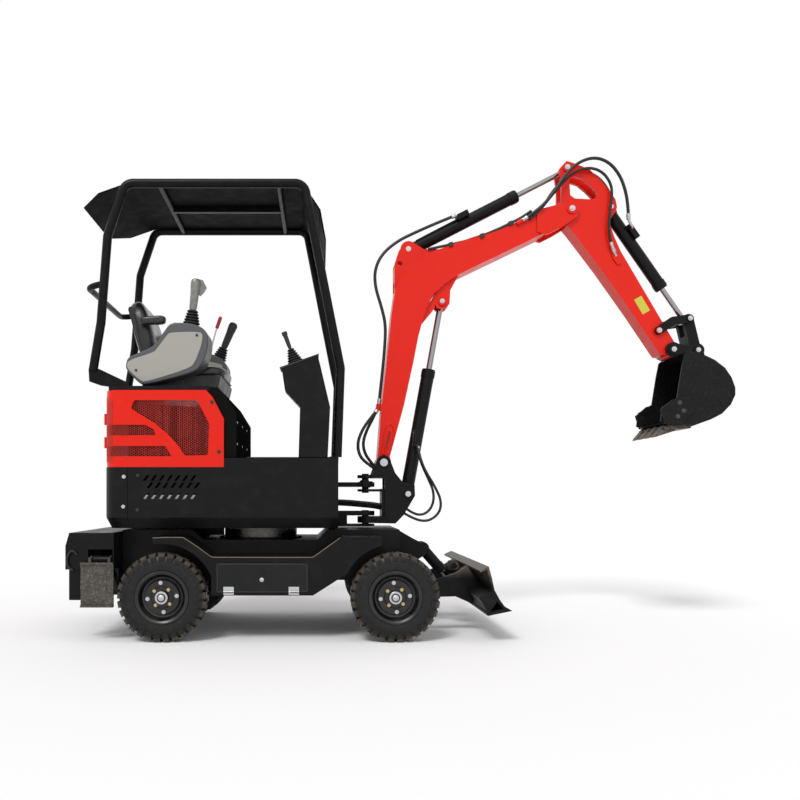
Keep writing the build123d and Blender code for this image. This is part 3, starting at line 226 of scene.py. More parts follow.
def finish(name, colour, roughness, metallic=0.0, vary=0.12, patch=3.0, grain=300.0, bump=0.05, dust=0.0,
           dust_colour=(0.30, 0.26, 0.21), coat=0.0, specular=0.5, worn=None):
    """A painted or moulded surface. worn is a function that gives a 0..1 output where bare steel shows."""
    material = bpy.data.materials.new(name)
    material.use_nodes = True
    tree = material.node_tree
    shader = tree.nodes["Principled BSDF"]
    shader.inputs["Metallic"].default_value = metallic
    shader.inputs["Coat Weight"].default_value = coat
    shader.inputs["Coat Roughness"].default_value = 0.1
    shader.inputs["Specular IOR Level"].default_value = specular
    place = tree.nodes.new("ShaderNodeTexCoord").outputs["Object"]
    slow = add_noise(tree, place, patch, 5.0)
    specks = add_noise(tree, place, patch * 5, 8.0)
    darker = tuple(channel * (1 - vary) for channel in colour)
    lighter = tuple(min(1.0, channel * (1 + vary)) for channel in colour)
    shade = add_mix(tree, slow, darker, lighter)
    dusty = add_mix(tree, add_range(tree, specks, 0.5, 0.85, 0.0, dust), shade, dust_colour)
    if worn:
        dusty = add_mix(tree, worn(tree, place, specks), dusty, bare_steel)
    tree.links.new(dusty, shader.inputs["Base Color"])
    polish = add_range(tree, specks, 0.3, 0.7, max(0.03, roughness - 0.08), min(1.0, roughness + 0.08))
    tree.links.new(polish, shader.inputs["Roughness"])
    dent = tree.nodes.new("ShaderNodeBump")
    dent.inputs["Strength"].default_value = bump
    dent.inputs["Distance"].default_value = 0.001
    tree.links.new(add_noise(tree, place, grain, 3.0), dent.inputs["Height"])
    tree.links.new(dent.outputs["Normal"], shader.inputs["Normal"])
    return material


red_paint = finish("red_paint", (0.67, 0.010, 0.0015), 0.34, vary=0.05, bump=0.03, coat=0.08, dust=0.02,
                   specular=0.2)
black_paint = finish("black_paint", (0.0042, 0.0043, 0.0046), 0.42, bump=0.08, grain=500, dust=0.02,
                     specular=0.14)
matte_black = finish("matte_black", (0.0075, 0.0078, 0.0070), 0.95, bump=0.08, grain=500, specular=0.0)
roof_black = finish("roof_black", (0.0022, 0.0022, 0.0018), 0.6, specular=0.04)
door_black = finish("door_black", (0.0075, 0.0078, 0.0083), 0.42, bump=0.08, grain=500, dust=0.02,
                    specular=0.2)
canopy_black = finish("canopy_black", (0.0032, 0.0032, 0.0034), 0.36, bump=0.08, grain=600, dust=0.02,
                      specular=0.13)
rim_black = finish("rim_black", (0.005, 0.005, 0.0055), 0.30, bump=0.08, dust=0.08, specular=0.45)
chrome_rod = finish("chrome_rod", (0.30, 0.30, 0.30), 0.14, metallic=1.0, vary=0.03, bump=0.01)
zinc = finish("zinc", (0.50, 0.51, 0.52), 0.38, metallic=1.0, vary=0.12, patch=20, bump=0.08)
slew_steel = finish("slew_steel", (0.10, 0.095, 0.085), 0.3, metallic=1.0, vary=0.5, patch=9, bump=0.1)
worn_steel = finish("worn_steel", (0.050, 0.046, 0.040), 0.5, metallic=0.3, vary=0.85, patch=22, bump=0.5,
                    grain=120, dust=0.9, dust_colour=(0.22, 0.19, 0.15))
trim_plastic = finish("trim_plastic", (0.060, 0.064, 0.070), 0.5, vary=0.06, bump=0.2, grain=900)
grey_plastic = finish("grey_plastic", (0.315, 0.305, 0.275), 0.5, vary=0.04, bump=0.2, grain=900, dust=0.05)
dark_plastic = finish("dark_plastic", (0.010, 0.010, 0.0105), 0.5, vary=0.1, bump=0.15, grain=800)
seat_vinyl = finish("seat_vinyl", (0.010, 0.0105, 0.011), 0.26, vary=0.1, bump=0.5, grain=420, dust=0.02,
                    specular=0.5)
hose_rubber = finish("hose_rubber", (0.008, 0.008, 0.0085), 0.40, vary=0.1, bump=0.1, grain=400,
                     specular=0.4)
red_grip = finish("red_grip", (0.60, 0.035, 0.030), 0.45, vary=0.06, bump=0.1)
film_grip = finish("film_grip", (0.16, 0.155, 0.145), 0.18, vary=0.6, patch=45, bump=0.9, grain=90,
                   coat=0.8)
blank_plate = finish("blank_plate", (0.52, 0.48, 0.045), 0.4, vary=0.03, bump=0.02)
print("finishes:", len(bpy.data.materials))

# %% [markdown]
# Rubber and worn edges need to know where they are. A tyre's tread is dusty and its side wall is dark,
# which follows the distance from the wheel's own axle. Soil has bared the steel of the blade and the
# bucket's teeth only up to some height, so their finish reads the Z of the piece.

# %% Tyres and worn edges


def distance_from_axle(tree, place, centre):
    """The distance from an axle along Y, in metres."""
    shift = vector_maths(tree, "SUBTRACT", place, centre)
    flat = vector_maths(tree, "MULTIPLY", shift, (1, 0, 1))
    return vector_maths(tree, "LENGTH", flat, output="Value")


soil_brown = (0.085, 0.068, 0.050)


def tyre_finish(name, centre, tread_radius):
    material = finish(name, (0.0045, 0.0045, 0.0045), 0.42, vary=0.2, patch=8, grain=240, bump=0.25,
                      dust=0.04,
                      specular=0.3)
    tree = material.node_tree
    shader = tree.nodes["Principled BSDF"]
    place = tree.nodes["Texture Coordinate"].outputs["Object"]
    rubber = shader.inputs["Base Color"].links[0].from_socket
    radius = distance_from_axle(tree, place, centre)
    on_tread = add_range(tree, radius, tread_radius - 0.012, tread_radius + 0.006, 0.0, 1.0)
    soil = add_range(tree, add_noise(tree, place, 26.0, 8.0), 0.30, 0.62, 0.1, 0.8)
    soiled = add_mix(tree, maths(tree, "MULTIPLY", on_tread, soil), rubber, soil_brown)
    tree.links.new(soiled, shader.inputs["Base Color"])
    return material


def worn_between(low, high, full=1.0):
    """Bare steel grows between two heights, broken up by specks."""
    def mask(tree, place, specks):
        split = tree.nodes.new("ShaderNodeSeparateXYZ")
        tree.links.new(place, split.inputs["Vector"])
        height = add_range(tree, split.outputs["Z"], low, high, 0.0, full)
        return maths(tree, "MULTIPLY", height, add_range(tree, specks, 0.35, 0.6, 0.25, 1.0))
    return mask


bucket_paint = finish("bucket_paint", (0.0048, 0.005, 0.0055), 0.45, vary=0.4, patch=12, bump=0.2,
                      grain=200,
                      dust=0.05, specular=0.15, worn=worn_between(1.165, 1.125, 0.9))
blade_paint = finish("blade_paint", (0.0045, 0.0045, 0.005), 0.45, vary=0.2, bump=0.12, grain=400,
                     dust=0.03,
                     specular=0.15, worn=worn_between(0.30, 0.36, 0.8))
print("finishes with a place:", bucket_paint.name, blade_paint.name)

# %% [markdown]
# A CAD node whose shape is right keeps its mesh and only changes its paint. One table says which finish
# each node wears. Whatever it doesn't list is black, as most of the machine is.

# %% Paint the CAD nodes
node_finish = {
    "boom": red_paint, "boom_bracket": red_paint, "arm": red_paint, "engine_cover": red_paint,
    "rear_door": red_paint, "canopy_frame": canopy_black, "canopy_roof": roof_black,
    "stabiliser_pad_right": worn_steel, "stabiliser_pad_left": worn_steel,
    "bucket": bucket_paint, "blade": blade_paint, "slew_ring": slew_steel,
    "toolbox_door_right": door_black, "toolbox_door_left": door_black,
}
tread_radius = 0.2185
for name, node in nodes.items():
    paint = node_finish.get(name, black_paint)
    if name.startswith("tyre"):
        low, high = (Vector(corner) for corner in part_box(name))
        paint = tyre_finish(name + "_rubber", (low + high) / 2, tread_radius)
    elif name.startswith("rim"):
        paint = rim_black
    elif name.endswith("_rod"):
        paint = chrome_rod
    node.data.materials.clear()
    node.data.materials.append(paint)
print("painted nodes:", len(nodes))

# %% [markdown]
# ## Helpers for mesh pieces
# Small pieces are drawn as a side view in millimetres and pulled out along Y, or swept along a line. A
# bevel takes the sharpness off each edge, because light catches a rounded edge and a real plate always
# has one.

# %% Mesh helpers
mm = 0.001
sharp_angle = math.radians(35)


def new_object(name, data, paint, body):
    thing = bpy.data.objects.new(name, data)
    bpy.context.scene.collection.objects.link(thing)
    if paint:
        data.materials.clear()
        data.materials.append(paint)
    if body:
        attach(thing, body)
    return thing


def mesh_of(name, build):
    """build fills a bmesh; doubles are merged and normals made to face outwards."""
    shape = bmesh.new()
    build(shape)
    bmesh.ops.remove_doubles(shape, verts=shape.verts, dist=1e-6)
    bmesh.ops.recalc_face_normals(shape, faces=shape.faces)
    data = bpy.data.meshes.new(name)
    shape.to_mesh(data)
    shape.free()
    return data


def shade_smooth(data):
    for face in data.polygons:
        face.use_smooth = True


def bevel(thing, width_mm):
    edge = thing.modifiers.new("edge", "BEVEL")
    edge.width = width_mm * mm
    edge.segments = 2
    edge.limit_method = "ANGLE"
    edge.angle_limit = sharp_angle
    edge.harden_normals = True


def side_plate(name, outline, y_low, y_high, paint, body, edge_mm=1.0):
    """outline is (X, Z) in mm; the plate fills it between two Y in mm."""
    def build(shape):
        ring = [shape.verts.new((x * mm, y_low * mm, z * mm)) for x, z in outline]
        face = shape.faces.new(ring)
        pulled = bmesh.ops.extrude_face_region(shape, geom=[face])
        moved = [item for item in pulled["geom"] if isinstance(item, bmesh.types.BMVert)]
        bmesh.ops.translate(shape, verts=moved, vec=(0, (y_high - y_low) * mm, 0))
    plate = new_object(name, mesh_of(name, build), paint, body)
    if edge_mm:
        bevel(plate, edge_mm)
    return plate


def tube(name, points, radius_mm, paint, body, order=3, resolution=10):
    """A NURBS curve of round section, control points in mm. It reaches the first and the last of them."""
    data = bpy.data.curves.new(name, "CURVE")
    data.dimensions = "3D"
    data.bevel_depth = radius_mm * mm
    data.bevel_resolution = 4
    data.resolution_u = resolution
    data.use_fill_caps = True
    line = data.splines.new("NURBS")
    line.points.add(len(points) - 1)
    for point, (x, y, z) in zip(line.points, points):
        point.co = (x * mm, y * mm, z * mm, 1)
    line.order_u = order
    line.use_endpoint_u = True
    return new_object(name, data, paint, body)


def turned(name, centre, axis, profile, paint, body, count=24, hollow=False):
    """A lathe piece: profile is (distance along the axis, radius), all in mm; hollow leaves a bore."""
    along = Vector(axis).normalized()
    side = along.orthogonal().normalized()
    other = along.cross(side)

    def build(shape):
        rings = []
        for distance, radius in profile:
            middle = Vector(centre) + along * distance
            turns = [2 * math.pi * i / count for i in range(count)]
            spokes = [(side * math.cos(a) + other * math.sin(a)) * radius for a in turns]
            rings.append([shape.verts.new((middle + spoke) * mm) for spoke in spokes])
        if hollow:
            rings.append(rings[0])
        else:
            shape.faces.new(rings[0])
            shape.faces.new(rings[-1])
        for low, high in zip(rings, rings[1:]):
            for i in range(count):
                shape.faces.new((low[i], low[(i + 1) % count], high[(i + 1) % count], high[i]))
    data = mesh_of(name, build)
    piece = new_object(name, data, paint, body)
    shade_smooth(data)
    keep = piece.modifiers.new("edges", "EDGE_SPLIT")
    keep.split_angle = sharp_angle
    return piece


print("helpers ready")

# %% [markdown]
# ## Hydraulic hoses
# The cords come first, because they are the pieces that are easiest to get wrong. Each is one open
# NURBS line of order three, clamped to its two ends. The feed hose and the two tip hoses follow the
# control points of the CAD tubes. Their ends go into crimped steel fittings, since no hose ends in
# plain rubber.

# %% Hoses along the boom
hose_radius = 9.0
feed_points = [(278, -46, 2388), (165, -45, 2343), (45, -46, 2290), (-66, -47, 2237), (-158, -46, 2160),
               (-199, -46, 2065), (-194, -47, 1965), (-160, -46, 1860), (-133, -45, 1750),
               (-141, -46, 1600),
               (-157, -47, 1440), (-174, -46, 1290)]
tip_side_points = [(650, 83, 2345), (735, 99, 2397), (815, 103, 2481), (884, 104, 2593), (966, 104, 2672),
                   (1059, 103, 2701), (1142, 102, 2672), (1203, 101, 2600), (1236, 99, 2515),
                   (1254, 92, 2430),
                   (1262, 80, 2350)]


def hose_fitting(name, end, before, body, length=34.0, radius=12.5):
    """A crimped ferrule over the last part of a hose and the hexagon nut beyond it."""
    along = (Vector(end) - Vector(before)).normalized()
    profile = [(-length, radius - 3), (-length + 3, radius), (-16, radius), (-14, radius - 2),
               (-12, radius - 2),
               (-10, radius), (-2, radius), (0, radius - 3)]
    turned(name, end, along, profile, zinc, body, count=12)


print("control points:", len(feed_points), "on the feed hose,", len(tip_side_points), "on each tip hose")

# %% [markdown]
# The two tip hoses loop over the joint between boom and arm, where a real hose bends when the arm moves.
# Each becomes a plain mesh on no body. A helper turns a curve into one, and reads the centre line from
# the same curve without its thickness.

# %% Hoses over a joint, as plain meshes


def as_mesh(thing):
    """A plain mesh object in place of a curve or of an object with modifiers."""
    graph = bpy.context.evaluated_depsgraph_get()
    data = bpy.data.meshes.new_from_object(thing.evaluated_get(graph), depsgraph=graph)
    name = thing.name
    old = thing.data
    bpy.data.objects.remove(thing)
    if isinstance(old, bpy.types.Curve):
        bpy.data.curves.remove(old)
    data.name = name
    plain = bpy.data.objects.new(name, data)
    bpy.context.scene.collection.objects.link(plain)
    shade_smooth(data)
    return plain


def centre_line(points):
    """The points of the NURBS line itself, in metres."""
    bare = as_mesh(tube("centre_line", points, 0.0, None, None))
    line = [tuple(vertex.co) for vertex in bare.data.vertices]
    data = bare.data
    bpy.data.objects.remove(bare)
    bpy.data.meshes.remove(data)
    return line


def declare_hose(hose, points):
    """Works out the centre line through a hose's points; nothing is kept of it."""
    line = centre_line(points)


def bending_hose(name, points, radius_mm):
    """A hose as a plain mesh in world space, on no body (points in mm)."""
    hose = as_mesh(tube(name, points, radius_mm, hose_rubber, None))
    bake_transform(hose)
    declare_hose(hose, points)
    return hose


def still_hose(name, points, radius_mm, body):
    """A hose whose two ends ride the same body."""
    declare_hose(tube(name, points, radius_mm, hose_rubber, body), points)


near_tip = None
for side, side_name in ((-1, "right"), (1, "left")):
    points = [(x, side * y, z) for x, y, z in tip_side_points]
    tip = bending_hose("tip_hose_" + side_name, points, hose_radius)
    near_tip = near_tip or tip
    hose_fitting("tip_fitting_low_" + side_name, points[0], points[1], "boom")
    hose_fitting("tip_fitting_high_" + side_name, points[-1], points[-2], "arm")
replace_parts(near_tip, "hose_tips")

# %% [markdown]
# The feed hose leaves the arm cylinder, runs down the back of the boom and ends at the lower clamp.
# From there two hoses bulge out behind the boom's foot to the swing bracket, and two more hang in loops
# before the boom cylinder. Each crosses one joint but rides no body.

# %% Feed, foot and boom cylinder hoses
feed = bending_hose("feed_hose", feed_points, hose_radius)
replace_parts(feed, "hose_feed")
hose_fitting("feed_fitting_high", feed_points[0], feed_points[1], "arm_barrel")
hose_fitting("feed_fitting_low", feed_points[-1], feed_points[-2], "boom")
foot_routes = {
    "foot_hose_right": [(-174, -46, 1268), (-218, -48, 1215), (-272, -52, 1140), (-300, -56, 1060),
                        (-285, -58, 985), (-232, -56, 938), (-180, -52, 905)],
    "foot_hose_left": [(-176, 46, 1275), (-200, 48, 1220), (-238, 52, 1150), (-262, 56, 1075),
                       (-250, 58, 1010), (-215, 56, 960), (-178, 52, 915)],
}
for name, points in foot_routes.items():
    bending_hose(name, points, hose_radius)
    hose_fitting(name + "_upper_fitting", points[0], points[1], "boom")
loop_routes = {
    "boom_hose_outer": [(48, -50, 1060), (60, -74, 985), (88, -92, 905), (140, -100, 820), (180, -104, 735),
                        (172, -104, 662), (108, -98, 612), (30, -88, 622), (-32, -78, 660)],
    "boom_hose_inner": [(36, -46, 1130), (46, -62, 1040), (66, -78, 950), (104, -84, 865), (140, -86, 785),
                        (136, -86, 705), (92, -82, 652), (28, -76, 650), (-24, -72, 690)],
}
for name, points in loop_routes.items():
    bending_hose(name, points, 7.5)
    hose_fitting(name + "_fitting", points[0], points[1], "boom_barrel", length=30, radius=11)
print("hoses in two bodies each:", len(foot_routes) + len(loop_routes))

# %% [markdown]
# ## Fasteners
# A Geometry Nodes group puts a washer and a hexagon head on every point it gets. The points carry their
# outward direction and sizes as attributes, so a single group serves each bolt and pin of the machine.

# %% Fastener group


def new_group(name, source, settings):
    """A group that takes one geometry and named settings and gives a mesh, and the settings' identifiers."""
    group = bpy.data.node_groups.new(name, "GeometryNodeTree")
    group.interface.new_socket(name=source, in_out="INPUT", socket_type="NodeSocketGeometry")
    identifiers = {}
    for label, (kind, value) in settings.items():
        socket = group.interface.new_socket(name=label, in_out="INPUT", socket_type="NodeSocket" + kind)
        if value is not None:
            socket.default_value = value
        identifiers[label] = socket.identifier
    group.interface.new_socket(name="Mesh", in_out="OUTPUT", socket_type="NodeSocketGeometry")
    return group, identifiers


def realized(group, instances):
    real = group.nodes.new("GeometryNodeRealizeInstances")
    group.links.new(instances, real.inputs["Geometry"])
    return real.outputs["Geometry"]


def end_group(group, start, geometry):
    """Puts the finish on what the group made and hands it out."""
    paint, end = group.nodes.new("GeometryNodeSetMaterial"), group.nodes.new("NodeGroupOutput")
    group.links.new(geometry, paint.inputs["Geometry"])
    group.links.new(start.outputs["Finish"], paint.inputs["Material"])
    group.links.new(paint.outputs["Geometry"], end.inputs["Mesh"])


def run_group(thing, group, identifiers, settings):
    """The thing with the group applied, as a plain mesh with flat faces."""
    modifier = thing.modifiers.new(group.name, "NODES")
    modifier.node_group = group
    for label, value in settings.items():
        modifier[identifiers[label]] = value
    plain = as_mesh(thing)
    for face in plain.data.polygons:
        face.use_smooth = False
    return plain


def fastener_group():
    group, inputs = new_group("fasteners", "Points", {
        "Head sides": ("Int", 6), "Washer thickness": ("Float", 0.003), "Finish": ("Material", None)})
    new, link = group.nodes.new, group.links.new
    start = new("NodeGroupInput")

    def attribute(name, kind):
        node = new("GeometryNodeInputNamedAttribute")
        node.data_type = kind
        node.inputs["Name"].default_value = name
        return node.outputs["Attribute"]

    turn = new("FunctionNodeAlignRotationToVector")
    turn.axis = "Z"
    link(attribute("out", "FLOAT_VECTOR"), turn.inputs["Vector"])
    joined = new("GeometryNodeJoinGeometry")
    parts = (("head", start.outputs["Head sides"], 0.9), ("washer", 20, None))
    for name, sides, tallness in parts:
        shape = new("GeometryNodeMeshCylinder")
        shape.inputs["Radius"].default_value = 1.0
        shape.inputs["Depth"].default_value = 2.0
        if isinstance(sides, int):
            shape.inputs["Vertices"].default_value = sides
        else:
            link(sides, shape.inputs["Vertices"])
        size = new("ShaderNodeCombineXYZ")
        radius = attribute(name, "FLOAT")
        link(radius, size.inputs["X"])
        link(radius, size.inputs["Y"])
        if tallness:
            link(maths(group, "MULTIPLY", radius, tallness), size.inputs["Z"])
        else:
            link(start.outputs["Washer thickness"], size.inputs["Z"])
        place = new("GeometryNodeInstanceOnPoints")
        link(start.outputs["Points"], place.inputs["Points"])
        link(shape.outputs["Mesh"], place.inputs["Instance"])
        link(turn.outputs["Rotation"], place.inputs["Rotation"])
        link(size.outputs["Vector"], place.inputs["Scale"])
        link(place.outputs["Instances"], joined.inputs["Geometry"])
    end_group(group, start, realized(group, joined.outputs["Geometry"]))
    return group, inputs


fasteners, fastener_inputs = fastener_group()
print("inputs of the group:", list(fastener_inputs))

# %% [markdown]
# A ray from the side finds the face each fastener sits on, so none floats or sinks, and it also tells
# which body carries it. The list then holds only what the photograph shows: X, Z, the head's radius and
# the washer's.

# %% Drop the fasteners onto the faces
body_of_empty = {empty.name: name for name, empty in frame["bodies"].items()}


beyond_the_side = 1.5


def seat_points(rows):
    """Groups (x, z, head, washer) rows by the body that a ray along Y meets first."""
    bpy.context.view_layer.update()
    graph = bpy.context.evaluated_depsgraph_get()
    found = {}
    for x, z, head, washer in rows:
        for side in (-1, 1):
            start = Vector((x * mm, side * beyond_the_side, z * mm))
            hit, place, _, _, thing, _ = bpy.context.scene.ray_cast(graph, start, (0, -side, 0))
            while thing is not None and thing.name not in body_of_empty:
                thing = thing.parent
            if hit and thing is not None:
                rows_of_body = found.setdefault(body_of_empty[thing.name], [])
                rows_of_body.append((place, (0, side, 0), head * mm, washer * mm))
    return found


def add_fasteners(name, found, paint):
    for body, rows in found.items():
        data = bpy.data.meshes.new(f"{name}_{body}")
        data.from_pydata([row[0] for row in rows], [], [])
        for label, kind, values in (("out", "FLOAT_VECTOR", [row[1] for row in rows]),
                                    ("head", "FLOAT", [row[2] for row in rows]),
                                    ("washer", "FLOAT", [row[3] for row in rows])):
            layer = data.attributes.new(label, kind, "POINT")
            for item, value in zip(layer.data, values):
                if kind == "FLOAT":
                    item.value = value
                else:
                    item.vector = value
        thing = bpy.data.objects.new(f"{name}_{body}", data)
        bpy.context.scene.collection.objects.link(thing)
        settings = {"Head sides": 6, "Washer thickness": 3 * mm, "Finish": paint}
        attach(run_group(thing, fasteners, fastener_inputs, settings), body)


def ring_of(x, z, radius, start_degrees, head, washer, count=4):
    turns = [math.radians(start_degrees + 360 * i / count) for i in range(count)]
    return [(x + radius * math.cos(a), z + radius * math.sin(a), head, washer) for a in turns]


wheel_centres = ((-1333, 232.5), (-125, 232.5))
silver = [(-149, 950, 9, 22), (-10, 770, 9, 16), (192, 1885, 8, 14), (-3, 2188, 8, 15), (935, 2412, 9, 17),
          (915, 2659, 8, 15), (1166, 2431, 8, 15), (1440, 1713, 8, 14), (1617, 1782, 8, 14),
          (1521, 1603, 8, 15),
          (1661, 1599, 8, 14), (-1551, 860, 6, 10), (-1554, 702, 6, 10)]
for x, z in wheel_centres:
    silver += ring_of(x, z, 76, 6, 6.5, 10.5)
yellow_zinc = finish("yellow_zinc", (0.50, 0.42, 0.20), 0.4, metallic=0.9, vary=0.15, patch=30, bump=0.08)
small_yellow = [row for x, z in wheel_centres for row in ring_of(x, z, 52, 50, 6.5, 9)]
dark = [(-1477, 867, 5, 9), (-1480, 685, 5, 9), (-1086, 1254, 5.5, 10), (-1049, 992, 5.5, 10),
        (-1501, 1432, 5, 7), (-1175, 1620, 5, 7)]
add_fasteners("silver_bolts", seat_points(silver), zinc)
add_fasteners("hub_bolts", seat_points(small_yellow), yellow_zinc)
add_fasteners("dark_bolts", seat_points(dark), dark_plastic)
print("fasteners:", 2 * (len(silver) + len(small_yellow) + len(dark)))

# %% [markdown]
# Each wheel's hub ends in a bright bearing cap with a castle nut. It's turned on the lathe helper from
# a half section and then rides on its own wheel, so that it spins with it.

# %% Wheel hubs
hub_profile = [(0, 33), (3.0, 33), (4.5, 31), (4.5, 21), (1.5, 20), (1.5, 16), (8, 16), (9, 14)]
for side, side_name in ((-1, "right"), (1, "left")):
    for end, (x, z) in zip(("rear", "front"), wheel_centres):
        rim_low, rim_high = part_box(f"rim_{end}_{side_name}")
        face_y = (rim_low if side < 0 else rim_high)[1] / mm
        turned(f"hub_{end}_{side_name}", (x, face_y - side * 0.5, z), (0, side, 0), hub_profile, zinc,
               f"wheel_{end}_{side_name}", count=30)
print("hubs:", 2 * len(wheel_centres))

# %% [markdown]
# ## Perforated sheet behind the cover's openings
# A honeycomb of small hexagonal rings is laid out flat by one Geometry Nodes group: a grid of points,
# each second column shifted by half a step. The same group then bends the flat sheet, because a point's
# first coordinate is read as a distance along a guide curve that follows the cover's wall.

# %% Honeycomb group
hole_pitch = 12.5


def honeycomb_group():
    group, inputs = new_group("honeycomb", "Guide", {
        "Pitch": ("Float", hole_pitch * mm), "Wire": ("Float", 0.0028), "Columns": ("Int", 10),
        "Rows": ("Int", 10), "Finish": ("Material", None)})
    new, link = group.nodes.new, group.links.new
    start = new("NodeGroupInput")

    line = new("GeometryNodeMeshLine")
    line.inputs["Offset"].default_value = (0, 0, 0)
    link(maths(group, "MULTIPLY", start.outputs["Columns"], start.outputs["Rows"]), line.inputs["Count"])
    index = new("GeometryNodeInputIndex").outputs["Index"]
    column = maths(group, "MODULO", index, start.outputs["Columns"])
    row = maths(group, "FLOOR", maths(group, "DIVIDE", index, start.outputs["Columns"]), 0)
    step = maths(group, "MULTIPLY", start.outputs["Pitch"], math.sqrt(0.75))
    shift = maths(group, "MULTIPLY", maths(group, "MODULO", column, 2), 0.5)
    spot = new("ShaderNodeCombineXYZ")
    across = maths(group, "ADD", column, 0.7)
    up = maths(group, "ADD", maths(group, "ADD", row, shift), 0.4)
    link(maths(group, "MULTIPLY", across, step), spot.inputs["X"])
    link(maths(group, "MULTIPLY", up, start.outputs["Pitch"]), spot.inputs["Z"])
    lattice = new("GeometryNodeSetPosition")
    link(line.outputs["Mesh"], lattice.inputs["Geometry"])
    link(spot.outputs["Vector"], lattice.inputs["Position"])

    ring = new("GeometryNodeCurvePrimitiveCircle")
    ring.inputs["Resolution"].default_value = 6
    link(maths(group, "MULTIPLY", start.outputs["Pitch"], 0.545), ring.inputs["Radius"])
    upright = new("GeometryNodeTransform")
    upright.inputs["Rotation"].default_value = (math.radians(90), 0, 0)
    link(ring.outputs["Curve"], upright.inputs["Geometry"])
    section = new("GeometryNodeCurvePrimitiveQuadrilateral")
    link(start.outputs["Wire"], section.inputs["Width"])
    link(maths(group, "MULTIPLY", start.outputs["Wire"], 0.6), section.inputs["Height"])
    bar = new("GeometryNodeCurveToMesh")
    link(upright.outputs["Geometry"], bar.inputs["Curve"])
    link(section.outputs["Curve"], bar.inputs["Profile Curve"])
    place = new("GeometryNodeInstanceOnPoints")
    link(lattice.outputs["Geometry"], place.inputs["Points"])
    link(bar.outputs["Mesh"], place.inputs["Instance"])

    flat = new("ShaderNodeSeparateXYZ")
    link(new("GeometryNodeInputPosition").outputs["Position"], flat.inputs["Vector"])
    guide = new("GeometryNodeSampleCurve")
    guide.mode = "LENGTH"
    guide.use_all_curves = True
    link(start.outputs["Guide"], guide.inputs["Curves"])
    link(flat.outputs["X"], guide.inputs["Length"])
    inward = vector_maths(group, "CROSS_PRODUCT", guide.outputs["Tangent"], (0, 0, 1))
    depth = new("ShaderNodeVectorMath")
    depth.operation = "SCALE"
    link(inward, depth.inputs[0])
    link(flat.outputs["Y"], depth.inputs["Scale"])
    rise = new("ShaderNodeCombineXYZ")
    link(flat.outputs["Z"], rise.inputs["Z"])
    on_wall = vector_maths(group, "ADD", depth.outputs["Vector"], guide.outputs["Position"])
    bend = new("GeometryNodeSetPosition")
    link(realized(group, place.outputs["Instances"]), bend.inputs["Geometry"])
    link(vector_maths(group, "ADD", on_wall, rise.outputs["Vector"]), bend.inputs["Position"])
    end_group(group, start, bend.outputs["Geometry"])
    return group, inputs


honeycomb, honeycomb_inputs = honeycomb_group()
grille_red = finish("grille_red", (0.55, 0.030, 0.018), 0.45, vary=0.1, bump=0.05, dust=0.1)


def perforated_sheet(name, guide_points, length_mm, low, high, body):
    """guide_points are (x, y) in mm at height low; the curve's corners are rounded by a NURBS spline."""
    guide = tube(name, [(x, y, low) for x, y in guide_points], 0.0, None, None)
    settings = {"Pitch": hole_pitch * mm, "Columns": int(length_mm / (hole_pitch * math.sqrt(0.75))),
                "Rows": int((high - low) / hole_pitch), "Finish": grille_red}
    sheet = run_group(guide, honeycomb, honeycomb_inputs, settings)
    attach(sheet, body)
    return sheet


wall_y = 461.0
sheet_length = 680
sheet_low, sheet_high = 942, 1270
for side, side_name in ((-1, "right"), (1, "left")):
    guide = [(-1094, side * wall_y), (-1400, side * wall_y), (-1590, side * wall_y), (-1650, side * wall_y),
             (-1650, side * (wall_y - 60)), (-1650, side * (wall_y - 160))]
    sheet = perforated_sheet("cover_mesh_" + side_name, guide, sheet_length, sheet_low, sheet_high, "house")
    print(sheet.name, "has", len(sheet.data.polygons), "faces")
    if side < 0:
        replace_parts(sheet, "cover_grilles")

# %% [markdown]
# ## Operator's place
# Moulded consoles have generous corners, so their outline is softened before it is pulled out: each
# round of cutting every corner twice, at a quarter of its two sides, brings it closer to a smooth
# curve. The light panel on the side is a second, thinner piece. The operator has tipped the left
# console forward.

# %% Consoles


def soften(points, rounds=2):
    """Cuts each corner of a closed outline at a quarter of its sides, several times over."""
    for _ in range(rounds):
        cut = []
        for (ax, az), (bx, bz) in zip(points, points[1:] + points[:1]):
            cut.append((0.75 * ax + 0.25 * bx, 0.75 * az + 0.25 * bz))
            cut.append((0.25 * ax + 0.75 * bx, 0.25 * az + 0.75 * bz))
        points = cut
    return points


console_outline = [(-1559, 1462), (-1548, 1502), (-1508, 1520), (-1410, 1562), (-1383, 1598), (-1336, 1668),
                   (-1312, 1688), (-1240, 1690), (-1187, 1682), (-1146, 1662), (-1119, 1632), (-1113, 1590),
                   (-1120, 1545), (-1133, 1500), (-1155, 1455), (-1198, 1418), (-1456, 1352), (-1488, 1364),
                   (-1556, 1436)]
panel_outline = [(-1552, 1462), (-1540, 1487), (-1408, 1528), (-1390, 1548), (-1334, 1624), (-1318, 1636),
                 (-1160, 1640), (-1143, 1622), (-1150, 1570), (-1168, 1520), (-1186, 1475), (-1212, 1443),
                 (-1452, 1368), (-1478, 1376), (-1546, 1438)]
tilt_pivot = Vector((-1520, 0, 1400)) * mm
left_console_tilt = Matrix.Rotation(math.radians(11), 4, "Y")
tilt = Matrix.Translation(tilt_pivot) @ left_console_tilt @ Matrix.Translation(-tilt_pivot)
